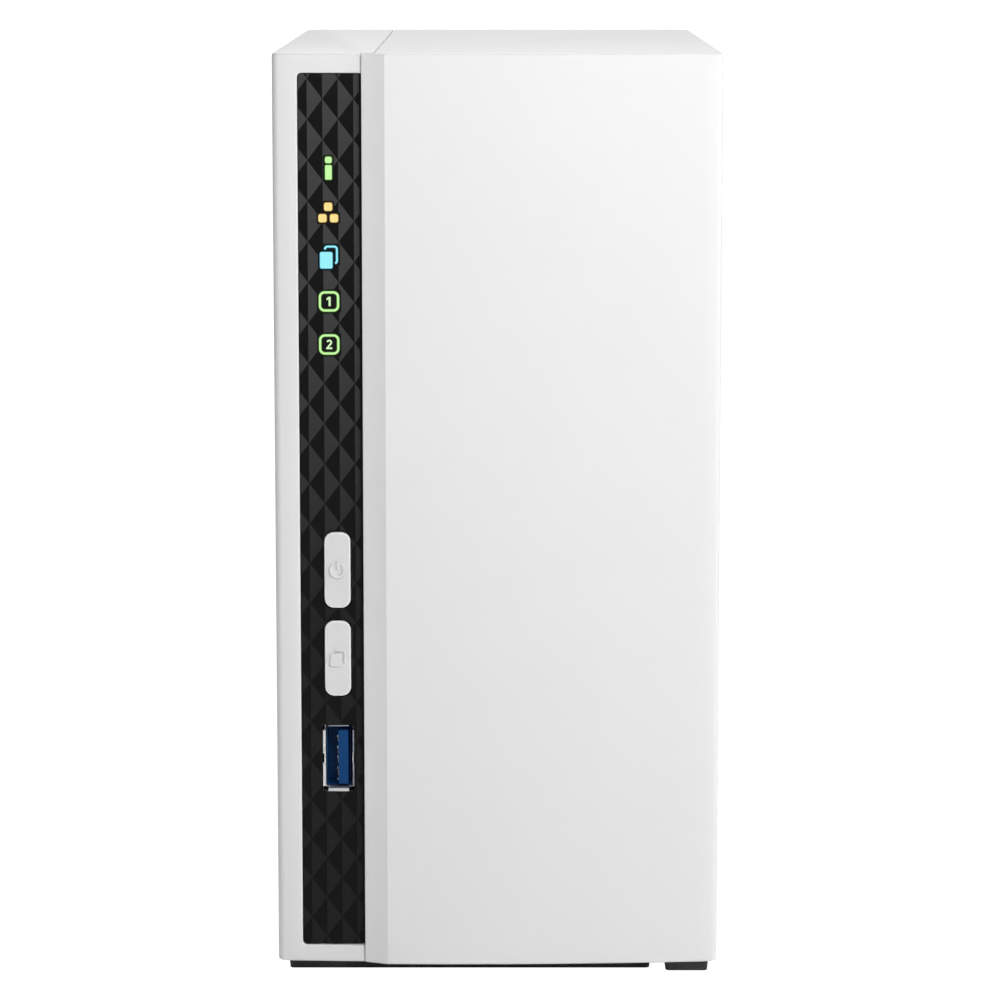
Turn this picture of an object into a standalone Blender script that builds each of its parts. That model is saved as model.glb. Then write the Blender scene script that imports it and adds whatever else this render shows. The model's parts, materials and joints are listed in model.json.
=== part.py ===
"""Desktop network storage unit with two upright 3.5 inch drives.

A left housing carries the front strip, the boards and the drive bay. A cover that makes up the front, the
top and the right side slides forward off it. Metres, +Z up, front towards -Y, origin on the table under
the middle of the case.
"""

import math

import bmesh
import bpy
from mathutils import Matrix, Vector


def mm(*values):
    """Millimetres as metres: one number, or a tuple of them."""
    scaled = tuple(value * 0.001 for value in values)
    return scaled[0] if len(scaled) == 1 else scaled


# ---------------------------------------------------------------- driving dimensions

CASE_WIDTH = mm(90.2)
CASE_DEPTH = mm(156.2)
CASE_HEIGHT = mm(188.6)
FOOT_HEIGHT = mm(2.6)
WALL = mm(2.4)
FLOOR_WALL = mm(2.8)
GAP = mm(0.3)

LEFT = -CASE_WIDTH / 2
RIGHT = CASE_WIDTH / 2
FRONT = -CASE_DEPTH / 2
REAR = CASE_DEPTH / 2
BOTTOM = FOOT_HEIGHT
TOP = CASE_HEIGHT
INNER_LEFT = LEFT + WALL
INNER_RIGHT = RIGHT - WALL
INNER_BOTTOM = BOTTOM + FLOOR_WALL
INNER_TOP = TOP - WALL

# The front bulges gently: one large arc in plan, furthest forward a little left of centre.
FRONT_ARC_X = mm(-8)
FRONT_ARC_RADIUS = mm(545)
FRAME_RECESS = mm(2.1)
LEFT_EDGE_RADIUS = mm(1.5)
RIGHT_EDGE_RADIUS = mm(1.5)
TOP_EDGE_RADIUS = mm(0.5)

# The cover's left edge is bevelled and laps over the strip, in a rebate of the frame;
# on top its seam is a little further in.
COVER_LIP_X = mm(-27.2)
COVER_BEVEL_X = mm(-22.5)
COVER_BEVEL_DEPTH = mm(1.85)
COVER_LIP_THICKNESS = mm(0.6)
SEAM_X = mm(-24.4)
LOWER_SEAM_X = mm(33.0)

# Front strip
WINDOW_X0 = mm(-40.05)
WINDOW_Z = mm(6.1, 184.65)
FASCIA_FRONT = mm(-74.7)
FASCIA_BACK = mm(-71.2)
BUTTON_X = mm(-32.5)
BUTTON_SIZE = mm(5.3, 15.5)
BUTTON_RADIUS = mm(1.9)
BUTTON_FRONT = mm(-75.4)
BUTTON_TRAVEL = mm(0.8)
POWER_Z = mm(84.2)
COPY_Z = mm(66.0)
ICON_X = mm(-33.9)
ICON_Z = mm(165.7, 156.8, 147.8, 138.9, 130.2)
LIGHT_SIZE = mm(4.6, 5.0)
FRONT_USB_Z = mm(45.2)

# Sockets
USB_X = mm(-32.5)
USB_SIZE = mm(6.3, 13.7)
USB_SHEET = mm(0.4)
USB_DEPTH = mm(16)
REAR_USB_Z = mm(45.2, 64.0)
JACK_X = mm(-36.3, -22.8)
JACK_Z = mm(16, 32)
POWER_JACK_X = mm(-36.3, -26.3)
POWER_JACK_Z = mm(78.4, 88.4)
RESET_X = mm(-34.3)
RESET_Z = mm(94)

# Inside
PANEL_Y = mm(72.7, 75.1)
BOARD_X = mm(-38.2, -36.6)
BOARD_THICKNESS = mm(1.6)
FRONT_BOARD_Y = mm(-63.7, -62.1)
FAN_SIZE = mm(80)
FAN_DEPTH = mm(25)
FAN_Z = mm(143)
FAN_BORE = mm(38)
FAN_SCREW_SPACING = mm(71.5)
HUB_RADIUS = mm(17)
BLADE_COUNT = 7
SCREW_X = mm(39.0)
SCREW_Z = mm(12.5, 92)
TRAY_WIDTH = mm(28.6)
TRAY_X = mm(-25.7, 4.9)
TRAY_Y = mm(-64.6, 42.2)
DRIVE_SIZE = mm(26.1, 101.6, 147.0)
DRIVE_Y = mm(-62.0)
DRIVE_Z = mm(17.9)
SHEET = mm(1.0)

ROUND = 24
SMALL_ROUND = 12


# ---------------------------------------------------------------- scene and materials


def clear_scene():
    for obj in list(bpy.data.objects):
        bpy.data.objects.remove(obj)


def principled(name, colour, roughness, metallic=0.0):
    made = bpy.data.materials.new(name)
    made.use_nodes = True
    shader = made.node_tree.nodes["Principled BSDF"]
    shader.inputs["Base Color"].default_value = (*colour, 1)
    shader.inputs["Roughness"].default_value = roughness
    shader.inputs["Metallic"].default_value = metallic
    return made


clear_scene()
UNIT = bpy.data.collections.new("network_storage_unit")
bpy.context.scene.collection.children.link(UNIT)

WHITE = principled("white_shell", (0.80, 0.80, 0.80), 0.45)
BLACK = principled("black_fascia", (0.02, 0.02, 0.022), 0.3)
GREY = principled("grey_button", (0.72, 0.72, 0.72), 0.5)
CLEAR = principled("light_guide", (0.85, 0.9, 0.85), 0.2)
RUBBER = principled("rubber", (0.03, 0.03, 0.03), 0.8)
BOARD = principled("circuit_board", (0.02, 0.16, 0.07), 0.45)
BLUE = principled("blue_plastic", (0.02, 0.12, 0.4), 0.4)
DARK = principled("dark_plastic", (0.03, 0.03, 0.03), 0.5)
STEEL = principled("steel", (0.6, 0.6, 0.6), 0.3, 1.0)
ALUMINIUM = principled("aluminium", (0.75, 0.75, 0.76), 0.4, 1.0)


# ---------------------------------------------------------------- shape helpers


def new_object(name, mesh, material=None, location=(0, 0, 0)):
    made = bpy.data.objects.new(name, mesh)
    made.location = location
    UNIT.objects.link(made)
    if material:
        paint(made, material)
    return made


def paint(obj, material):
    obj.data.materials.clear()
    obj.data.materials.append(material)
    obj.data.polygons.foreach_set("material_index", [0] * len(obj.data.polygons))


def block(name, x, y, z, material=None):
    """A box between two limits on each axis, with its origin at its middle."""
    size = [high - low for low, high in (x, y, z)]
    middle = [(low + high) / 2 for low, high in (x, y, z)]
    made = bmesh.new()
    bmesh.ops.create_cube(made, size=1, matrix=Matrix.Diagonal((*size, 1)))
    mesh = bpy.data.meshes.new(name)
    made.to_mesh(mesh)
    made.free()
    return new_object(name, mesh, material, middle)


def rod(name, start, end, radius, material=None, segments=SMALL_ROUND, end_radius=None):
    """A cylinder or cone between two points, with its origin half-way."""
    start, end = Vector(start), Vector(end)
    along = end - start
    turn = along.to_track_quat("Z", "Y").to_matrix().to_4x4()
    made = bmesh.new()
    bmesh.ops.create_cone(
        made,
        cap_ends=True,
        segments=segments,
        radius1=radius,
        radius2=radius if end_radius is None else end_radius,
        depth=along.length,
        matrix=turn,
    )
    mesh = bpy.data.meshes.new(name)
    made.to_mesh(mesh)
    made.free()
    return new_object(name, mesh, material, (start + end) / 2)


# How a flat outline is turned so that its thickness runs along an axis.
PLANE_TURN = {
    "xy": (0, 0, 0),
    "xz": (math.pi / 2, 0, 0),
    "yz": (math.pi / 2, 0, math.pi / 2),
}


def slab(name, plane, loops, low, high, material=None):
    """A flat outline, with holes for the further loops, thick between low and high across its plane."""
    curve = bpy.data.curves.new(name, "CURVE")
    curve.dimensions = "2D"
    curve.fill_mode = "BOTH"
    curve.extrude = (high - low) / 2
    for loop in loops:
        spline = curve.splines.new("POLY")
        spline.points.add(len(loop) - 1)
        for point, (u, v) in zip(spline.points, loop):
            point.co = (u, v, 0, 1)
        spline.use_cyclic_u = True
    flat = bpy.data.objects.new(name + "_outline", curve)
    UNIT.objects.link(flat)
    flat.rotation_euler = PLANE_TURN[plane]
    across = {"xy": (0, 0, 1), "xz": (0, 1, 0), "yz": (1, 0, 0)}[plane]
    flat.location = Vector(across) * (low + high) / 2
    return to_mesh(flat, name, material)


def stack(name, layers, material=None):
    """Outlines with equal numbers of points at rising heights, joined by walls and closed by flat ends."""
    shape = bmesh.new()
    rings = [[shape.verts.new((x, y, z)) for x, y in outline] for z, outline in layers]
    count = len(rings[0])
    for lower, upper in zip(rings, rings[1:]):
        for i in range(count):
            following = (i + 1) % count
            shape.faces.new((lower[i], lower[following], upper[following], upper[i]))
    shape.faces.new(rings[0][::-1])
    shape.faces.new(rings[-1])
    mesh = bpy.data.meshes.new(name)
    shape.to_mesh(mesh)
    shape.free()
    return new_object(name, mesh, material)


def rounded_ends(outline, low, high, radius, steps=2):
    """Layers for stack: outline(inset) drawn in by a quarter circle at the bottom and at the top."""
    angles = [math.pi / 2 * i / steps for i in range(steps + 1)]
    curve = [(radius * (1 - math.sin(angle)), radius * (1 - math.cos(angle))) for angle in angles]
    bottom = [(low + rise, outline(inset)) for inset, rise in curve]
    top = [(high - rise, outline(inset)) for inset, rise in reversed(curve)]
    return bottom + top


def to_mesh(source, name, material):
    """A curve object as a closed mesh object in the same place."""
    bpy.context.view_layer.update()
    graph = bpy.context.evaluated_depsgraph_get()
    mesh = bpy.data.meshes.new_from_object(source.evaluated_get(graph))
    welded = bmesh.new()
    welded.from_mesh(mesh)
    bmesh.ops.remove_doubles(welded, verts=welded.verts, dist=mm(0.001))
    bmesh.ops.recalc_face_normals(welded, faces=welded.faces)
    welded.to_mesh(mesh)
    welded.free()
    made = new_object(name, mesh, material)
    made.matrix_world = source.matrix_world
    bpy.data.objects.remove(source)
    return made


def combine(obj, operation, tools):
    """Applies one Boolean after another and removes the tools."""
    material = obj.data.materials[0] if obj.data.materials else None
    for tool in tools:
        modifier = obj.modifiers.new(operation, "BOOLEAN")
        modifier.operation = operation
        modifier.solver = "EXACT"
        modifier.object = tool
        bpy.context.view_layer.update()
        graph = bpy.context.evaluated_depsgraph_get()
        mesh = bpy.data.meshes.new_from_object(obj.evaluated_get(graph))
        obj.modifiers.clear()
        obj.data = mesh
        bpy.data.objects.remove(tool)
    if material:
        paint(obj, material)
    return obj


def cut(obj, *tools):
    return combine(obj, "DIFFERENCE", tools)


def fuse(obj, *tools):
    return combine(obj, "UNION", tools)


def shade(obj):
    obj.data.shade_smooth()
    obj.data.set_sharp_from_angle(angle=math.radians(35))


def arc(centre, radius, start, end, steps):
    """Points on an arc, angles in degrees."""
    return [
        (
            centre[0] + radius * math.cos(math.radians(start + (end - start) * i / steps)),
            centre[1] + radius * math.sin(math.radians(start + (end - start) * i / steps)),
        )
        for i in range(steps + 1)
    ]


def rounded_rectangle(u, v, radius, steps=4):
    (u0, u1), (v0, v1) = u, v
    corners = ((u1, v1, 0), (u0, v1, 90), (u0, v0, 180), (u1, v0, 270))
    points = []
    for cu, cv, start in corners:
        centre = (cu - math.copysign(radius, cu - (u0 + u1) / 2), cv - math.copysign(radius, cv - (v0 + v1) / 2))
        points += arc(centre, radius, start, start + 90, steps)
    return points


def around(centre, size, extra=0.0):
    """Limits of a span of that size about a centre, widened by extra on each side."""
    return centre - size / 2 - extra, centre + size / 2 + extra


# ---------------------------------------------------------------- case


def front_y(x):
    """How far forward the cover's face reaches at x."""
    return FRONT + (x - FRONT_ARC_X) ** 2 / (2 * FRONT_ARC_RADIUS)


def front_points(x0, x1, steps, offset=0.0):
    """Points from x0 to x1 along the front's arc, set back by offset."""
    xs = [x0 + (x1 - x0) * i / steps for i in range(steps + 1)]
    return [(x, front_y(x) + offset) for x in xs]


def corner(x, y, radius, start, steps=3):
    """A plan corner at (x, y) rounded inwards; start is the angle at which its arc begins."""
    middle = math.radians(start + 45)
    centre = (
        x - radius * math.copysign(1, math.cos(middle)),
        y - radius * math.copysign(1, math.sin(middle)),
    )
    return arc(centre, radius, start, start + 90, steps)


def make_sliding_cover():
    """Front face, top and right side in one moulding, open to the left and the rear."""
    lip_y = front_y(COVER_LIP_X) + COVER_BEVEL_DEPTH
    lip_back = lip_y + COVER_LIP_THICKNESS

    def outline(inset):
        side = RIGHT - inset
        return [
            (COVER_LIP_X, lip_back),
            (COVER_LIP_X, min(lip_y + inset, lip_back - GAP)),
            *front_points(COVER_BEVEL_X, RIGHT - RIGHT_EDGE_RADIUS * 2, 7, inset),
            *corner(side, front_y(RIGHT) + inset, RIGHT_EDGE_RADIUS, 270),
            (side, REAR),
            (SEAM_X, REAR),
            (SEAM_X, lip_back),
        ]

    cover = stack("sliding_cover", rounded_ends(outline, BOTTOM, TOP, TOP_EDGE_RADIUS), WHITE)
    inside = [
        *front_points(LEFT, INNER_RIGHT, 8, WALL),
        (INNER_RIGHT, REAR + WALL),
        (LEFT, REAR + WALL),
    ]
    under = [
        *front_points(LEFT, LOWER_SEAM_X, 6, WALL),
        (LOWER_SEAM_X, REAR + WALL),
        (LEFT, REAR + WALL),
    ]
    cut(
        cover,
        slab("cover_inside", "xy", [inside], INNER_BOTTOM, INNER_TOP),
        slab("cover_underside", "xy", [under], 0, INNER_BOTTOM + WALL),
    )
    rail = block("guide_rail", mm(-19.2, -18.2), mm(-60, 60), mm(183.4, 187.0))
    bosses = [
        block("screw_boss", mm(35.6, 43.5), mm(63, 72.4), (z - mm(4), z + mm(4))) for z in SCREW_Z
    ]
    fuse(cover, rail, *bosses)
    cut(
        cover,
        *[rod("thread", (SCREW_X, mm(60), z), (SCREW_X, REAR, z), mm(1.9)) for z in SCREW_Z],
    )
    return cover


def make_left_housing():
    """Left side, front frame, top strip and the floor that carries everything inside."""
    x_right = SEAM_X - GAP

    def outline(inset):
        side = LEFT + inset
        return [
            *corner(side, front_y(LEFT) + FRAME_RECESS + inset, LEFT_EDGE_RADIUS, 180),
            *front_points(LEFT + LEFT_EDGE_RADIUS * 2, x_right, 3, FRAME_RECESS + inset),
            (x_right, REAR),
            (side, REAR),
        ]

    housing = stack("left_housing", rounded_ends(outline, BOTTOM, TOP, TOP_EDGE_RADIUS), WHITE)
    inside = [
        *front_points(INNER_LEFT, mm(-10), 4, FRAME_RECESS + WALL),
        (mm(-10), REAR + WALL),
        (INNER_LEFT, REAR + WALL),
    ]
    cut(
        housing,
        slab("housing_inside", "xy", [inside], INNER_BOTTOM, INNER_TOP),
        block("strip_window", (WINDOW_X0, mm(-20)), mm(-80, -71), WINDOW_Z),
        block("lip_rebate", (COVER_LIP_X - GAP, mm(-20)), mm(-80, -75.0), mm(0, 200)),
    )
    floor = [
        *front_points(mm(-30), LOWER_SEAM_X - GAP, 6, WALL + GAP),
        (LOWER_SEAM_X - GAP, REAR),
        (mm(-30), REAR),
    ]
    ledge = block("top_ledge", mm(-30, -19.5), mm(-66, 71), mm(184.4, 185.9))
    ledge_root = block("ledge_root", mm(-30, -25.5), mm(-66, 71), mm(185, 187))
    flange_root = block("flange_root", mm(29, 32.5), mm(-60, 70), mm(4.5, 7.2))
    flange = block("flange", mm(32, 36.8), mm(-60, 70), mm(5.7, 7.2))
    standoffs = [
        rod("standoff", (mm(-43.5), y, z), (mm(-38.5), y, z), mm(3))
        for y, z in MAINBOARD_SCREWS
    ]
    posts = [
        rod("post", (x, y, mm(4)), (x, y, mm(7.7)), mm(2), segments=8)
        for x in mm(-21, 22)
        for y in mm(-20, 16)
    ]
    fuse(
        housing,
        slab("floor", "xy", [floor], BOTTOM, INNER_BOTTOM),
        ledge_root,
        ledge,
        flange_root,
        flange,
        *standoffs,
        *posts,
    )
    pilots = [
        rod("pilot", (mm(-42.6), y, z), (mm(-38), y, z), mm(1.6)) for y, z in MAINBOARD_SCREWS
    ]
    vents = [
        slab(
            "intake",
            "xy",
            [rounded_rectangle(around(mm(-8 + 5.5 * i), mm(2.4)), mm(-40, 30), mm(1.2), 3)],
            0,
            mm(8),
        )
        for i in range(-2, 5)
    ]
    cut(housing, *pilots, *vents)
    return housing


# Mainboard screw places, as (y, z).
MAINBOARD_SCREWS = (mm(-54, 18), mm(-54, 91), mm(44, 18), mm(40, 93.5))


def grille_slots():
    """Four rings of curved slots between four spokes, centred on the fan."""
    slots = []
    for ring in range(4):
        inner = mm(9 + 7.4 * ring)
        outer = inner + mm(4.6)
        spoke = math.degrees(mm(1.6) / inner)
        for quarter in range(4):
            start = 45 + 90 * quarter + spoke
            end = 135 + 90 * quarter - spoke
            steps = 4 + 2 * ring
            outside = arc((0, FAN_Z), outer, start, end, steps)
            inside = arc((0, FAN_Z), inner, end, start, steps)
            slots.append(outside + inside)
    return slots


def fan_screw_places():
    half = FAN_SCREW_SPACING / 2
    return [(sx * half, FAN_Z + sz * half) for sx in (-1, 1) for sz in (-1, 1)]


def make_rear_panel():
    """The inset rear wall, with the fan grille and the socket openings."""
    circle = lambda x, z, radius: arc((x, z), radius, 0, 360 - 360 / SMALL_ROUND, SMALL_ROUND - 1)
    outer = rounded_rectangle(
        (INNER_LEFT + GAP, INNER_RIGHT - GAP), (INNER_BOTTOM + GAP, INNER_TOP - GAP), mm(1.0), 2
    )
    sockets = [
        rounded_rectangle(around(USB_X, USB_SIZE[0], GAP), around(z, USB_SIZE[1], GAP), mm(0.6), 2)
        for z in REAR_USB_Z
    ]
    jack = rounded_rectangle(
        (JACK_X[0] - GAP, JACK_X[1] + GAP), (JACK_Z[0] - GAP, JACK_Z[1] + GAP), mm(0.6), 2
    )
    power = rounded_rectangle(
        (POWER_JACK_X[0] - GAP, POWER_JACK_X[1] + GAP),
        (POWER_JACK_Z[0] - GAP, POWER_JACK_Z[1] + GAP),
        mm(0.6),
        2,
    )
    lock_slot = rounded_rectangle(mm(20, 27), mm(12, 15), mm(0.8), 2)
    holes = [circle(x, z, mm(2.3)) for x, z in fan_screw_places()]
    holes += [circle(SCREW_X, z, mm(2.0)) for z in SCREW_Z]
    holes.append(circle(RESET_X, RESET_Z, mm(1.3)))
    loops = [outer, *sockets, jack, power, lock_slot, *holes, *grille_slots()]
    return slab("rear_panel", "xz", loops, *PANEL_Y, WHITE)


def make_fascia():
    """The dark strip beside the cover: a plate in the window with a flange behind it."""
    x = (WINDOW_X0 + GAP, mm(-25.0))
    z = (WINDOW_Z[0] + GAP, WINDOW_Z[1] - GAP)
    fascia = block("front_fascia", x, (FASCIA_FRONT, mm(-71.8)), z, BLACK)
    fuse(
        fascia,
        block("flange", (x[0] - mm(1.4), x[1]), (mm(-72.2), FASCIA_BACK), (z[0] - mm(0.8), z[1] + mm(1.0))),
    )
    through = mm(-80, -65)
    openings = [
        slab("button_hole", "xz", [rounded_rectangle(
            around(BUTTON_X, BUTTON_SIZE[0], GAP), around(centre, BUTTON_SIZE[1], GAP), BUTTON_RADIUS)], *through)
        for centre in (POWER_Z, COPY_Z)
    ]
    openings += [
        slab("light_hole", "xz", [rounded_rectangle(
            around(ICON_X, LIGHT_SIZE[0], GAP), around(centre, LIGHT_SIZE[1], GAP), mm(0.8), 2)], *through)
        for centre in ICON_Z
    ]
    openings.append(
        slab("usb_hole", "xz", [rounded_rectangle(
            around(USB_X, USB_SIZE[0], GAP), around(FRONT_USB_Z, USB_SIZE[1], GAP), mm(0.8), 2)], *through)
    )
    return cut(fascia, *openings)


# ---------------------------------------------------------------- controls and lights


def make_button(name, centre_z):
    """A cap through the strip, a flange that keeps it in, and a stem that reaches the switch."""
    cap = rounded_rectangle(
        around(BUTTON_X, BUTTON_SIZE[0]), around(centre_z, BUTTON_SIZE[1]), BUTTON_RADIUS
    )
    button = slab(name, "xz", [cap], BUTTON_FRONT, mm(-70.5), GREY)
    flange = block(
        "flange",
        around(BUTTON_X, BUTTON_SIZE[0], mm(0.8)),
        mm(-70.9, -70.1),
        around(centre_z, BUTTON_SIZE[1], mm(0.8)),
    )
    stem = rod("stem", (BUTTON_X, mm(-70.5), centre_z), (BUTTON_X, mm(-69.2), centre_z), mm(1.3))
    return fuse(button, flange, stem)


def make_switch(name, centre_z):
    """A push switch on the front board and its plunger."""
    body = block(
        name + "_switch", around(BUTTON_X, mm(6)), mm(-67.5, -64.0), around(centre_z, mm(6)), DARK
    )
    cut(body, rod("well", (BUTTON_X, mm(-69), centre_z), (BUTTON_X, mm(-65.2), centre_z), mm(1.85)))
    rod(
        name + "_switch_plunger",
        (BUTTON_X, mm(-68.9), centre_z),
        (BUTTON_X, mm(-66.9), centre_z),
        mm(1.45),
        GREY,
    )


def make_light_guide():
    """One clear bar behind the strip with a window for each light."""
    guide = block(
        "indicator_light_guide", around(ICON_X, mm(4.6)), mm(-70.9, -66.0), mm(126.5, 169.5), CLEAR
    )
    bosses = [
        slab("window", "xz", [rounded_rectangle(
            around(ICON_X, LIGHT_SIZE[0]), around(centre, LIGHT_SIZE[1]), mm(0.6), 2)],
            FASCIA_FRONT, mm(-70.5))
        for centre in ICON_Z
    ]
    return fuse(guide, *bosses)


def make_front_board():
    """The narrow board behind the strip, with a lamp behind each window."""
    board = block("front_board", mm(-41.5, -27.5), FRONT_BOARD_Y, mm(57, 172), BOARD)
    lamps = [
        block("lamp", around(ICON_X, mm(1.6)), mm(-65.2, -63.2), around(centre, mm(3.2)))
        for centre in ICON_Z
    ]
    return fuse(board, *lamps)


# ---------------------------------------------------------------- sockets


def make_usb(name, centre_z, face_y, inward):
    """A metal shell open at face_y and its plastic core; inward is the sign of Y into the case."""
    back_y = face_y + inward * USB_DEPTH
    outside = block(
        name + "_shell",
        around(USB_X, USB_SIZE[0]),
        sorted((face_y, back_y)),
        around(centre_z, USB_SIZE[1]),
        STEEL,
    )
    hollow = block(
        "hollow",
        around(USB_X, USB_SIZE[0], -USB_SHEET),
        sorted((face_y - inward * mm(2), back_y - inward * USB_SHEET)),
        around(centre_z, USB_SIZE[1], -USB_SHEET),
    )
    cut(outside, hollow)
    core_margin = -(USB_SHEET + mm(0.25))
    core = block(
        name + "_core",
        around(USB_X, USB_SIZE[0], core_margin),
        sorted((back_y - inward * mm(6.0), back_y - inward * mm(0.7))),
        around(centre_z, USB_SIZE[1], core_margin),
        BLUE if inward > 0 else DARK,
    )
    tongue = block(
        "tongue",
        (USB_X - mm(0.1), USB_X + mm(2.0)),
        sorted((face_y + inward * mm(1.2), back_y - inward * mm(4.0))),
        around(centre_z, mm(11.2)),
    )
    fuse(core, tongue)


def make_network_jack():
    jack = block("network_jack", JACK_X, mm(54, 75.1), JACK_Z, DARK)
    middle_z = sum(JACK_Z) / 2
    socket = block("socket", mm(-33.6, -25.2), mm(61, 78), around(middle_z, mm(11.9)))
    latch = block("latch", mm(-26, -24.0), mm(61, 78), around(middle_z, mm(5.0)))
    return cut(jack, socket, latch)


def make_power_jack():
    x, z = sum(POWER_JACK_X) / 2, sum(POWER_JACK_Z) / 2
    jack = block("power_jack", POWER_JACK_X, mm(61, 75.1), POWER_JACK_Z, DARK)
    cut(jack, rod("socket", (x, mm(65), z), (x, mm(80), z), mm(3.1), segments=ROUND))
    return fuse(jack, rod("pin", (x, mm(63), z), (x, mm(74.2), z), mm(1.0)))


def make_reset():
    body = block("reset_switch", mm(-36.3, -32.3), mm(65.5, 70.5), mm(92, 96), DARK)
    cut(body, rod("well", (RESET_X, mm(67.4), RESET_Z), (RESET_X, mm(72), RESET_Z), mm(1.25)))
    rod("reset_plunger", (RESET_X, mm(68.8), RESET_Z), (RESET_X, mm(72.2), RESET_Z), mm(0.9), GREY)


# ---------------------------------------------------------------- boards


def make_mainboard():
    """The upright main board; its front tongue carries the front socket."""
    outline = [
        mm(-61, 10), mm(71.9, 10), mm(71.9, 98), mm(-61, 98),
        mm(-61, 53.5), mm(-70.9, 53.5), mm(-70.9, 37), mm(-61, 37),
    ]
    holes = [
        arc((y, z), mm(1.8), 0, 330, SMALL_ROUND - 1) for y, z in MAINBOARD_SCREWS
    ]
    board = slab("mainboard", "yz", [outline, *holes], *BOARD_X, BOARD)
    surface = BOARD_X[1] - mm(0.4)
    soldered = {
        "memory_chip_1": ((surface, mm(-35.4)), mm(-32, -18), mm(22, 31)),
        "memory_chip_2": ((surface, mm(-35.4)), mm(-12, 2), mm(22, 31)),
        "network_chip": ((surface, mm(-35.6)), mm(22, 32), mm(30, 40)),
        "fan_header": ((surface, mm(-31.0)), mm(27, 35), mm(84, 89.7)),
        "backplane_header": ((surface, mm(-31.0)), mm(-18, 18), mm(10.2, 14)),
        "ribbon_header": ((surface, mm(-34.6)), mm(-55, -51), mm(59, 71)),
        "capacitor_1": ((surface, mm(-29.5)), mm(40, 46), mm(60, 66)),
        "capacitor_2": ((surface, mm(-29.5)), mm(40, 46), mm(69, 75)),
    }
    return fuse(board, *[block(name, *limits) for name, limits in soldered.items()])


def make_heatsink():
    sink = block("heatsink", mm(-34.9, -28.2), mm(-26, 12), mm(38, 76), ALUMINIUM)
    channels = [
        block("channel", mm(-32.7, -20), around(mm(-21.5 + 5.8 * i), mm(3.6)), mm(30, 80))
        for i in range(6)
    ]
    return cut(sink, *channels)


def make_board_parts():
    block("processor", mm(-36.3, -35.2), mm(-15.5, 1.5), mm(48.5, 65.5), DARK)
    rod("coin_cell", mm(-36.3, -40, 82), mm(-33.1, -40, 82), mm(10), STEEL, ROUND)
    for number, (y, z) in enumerate(MAINBOARD_SCREWS, 1):
        screw(
            f"mainboard_screw_{number}",
            Vector((mm(-36.3), y, z)),
            Vector((1, 0, 0)),
            head=mm(2.8, 1.3),
            shank=mm(1.3, 5.0),
        )


def screw(name, seat, outward, head, shank):
    """A fastener whose head rests at seat; head and shank are (radius, length)."""
    made = rod(name, seat, seat + outward * head[1], head[0], STEEL, SMALL_ROUND)
    into = rod(
        "shank", seat + outward * head[1] / 2, seat - outward * shank[1], shank[0], None, SMALL_ROUND
    )
    return fuse(made, into)


def make_backplane():
    """The board under the drives and the socket that each drive drops onto."""
    block("backplane", mm(-30.7, 32), mm(-28, 24), mm(8.0, 9.6), BOARD)
    for number, tray_x in enumerate(TRAY_X, 1):
        blade_x = tray_x + mm(1.25 + 0.8)
        receptacle = block(
            f"drive_socket_{number}", around(blade_x, mm(4.6)), mm(-22, 18), mm(9.9, 17.3), DARK
        )
        cut(receptacle, block("slot", around(blade_x, mm(1.9)), mm(-19, 15), mm(12.4, 20)))


# ---------------------------------------------------------------- drives


def make_drive_cage():
    """Three sheet walls and a raised floor that hold the two trays upright."""
    y = mm(-60, 44)
    walls_x = mm(-27.2, 3.4, 34.0)
    cage = block("drive_cage", (walls_x[0], walls_x[2] + SHEET), y, mm(13.6, 14.6), STEEL)
    walls = [
        block("wall", (walls_x[0], walls_x[0] + SHEET), y, mm(5.7, 150)),
        block("wall", (walls_x[1], walls_x[1] + SHEET), y, mm(14, 150)),
        block("wall", (walls_x[2], walls_x[2] + SHEET), y, mm(7.5, 150)),
    ]
    fuse(cage, *walls)
    sockets = [
        block("opening", (x - mm(0.48), x + mm(6)), mm(-24, 20), mm(12, 16)) for x in TRAY_X
    ]
    board_way = block("board_way", mm(-30, -24), mm(-30, 26), mm(7, 12.8))
    windows = [
        slab("window", "yz", [rounded_rectangle(mm(-44, 28), (z, z + mm(30)), mm(4), 3)], mm(-30), mm(38))
        for z in mm(32, 74, 112)
    ]
    return cut(cage, *sockets, board_way, *windows)


def make_tray(number, x0):
    """A plastic frame round the drive's edges, with a tab to pull it up by."""
    x = (x0, x0 + TRAY_WIDTH)
    top = DRIVE_Z + DRIVE_SIZE[2]
    tray = block(f"tray_{number}", x, TRAY_Y, mm(15.2, 167.8), DARK)
    hollow = block(
        "hollow",
        (x[0] - mm(1), x[1] + mm(1)),
        (DRIVE_Y - GAP, DRIVE_Y + DRIVE_SIZE[1] + GAP),
        (DRIVE_Z - mm(0.5), top + mm(0.5)),
    )
    socket_way = block("socket_way", (x[0] - mm(1), x[0] + mm(6)), mm(-25, 21), mm(12, 19))
    middle = sum(x) / 2
    cut(tray, hollow, socket_way)
    tab = block("tab", around(middle, mm(12)), mm(-28, 8), mm(167, 176))
    fuse(tray, tab)
    return cut(tray, *drive_screw_holes(middle))


DRIVE_SCREW_Z = mm(46, 136)


def drive_screw_holes(middle):
    return [
        rod("hole", (middle, mm(-70), z), (middle, mm(-58), z), mm(1.9)) for z in DRIVE_SCREW_Z
    ]


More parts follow.
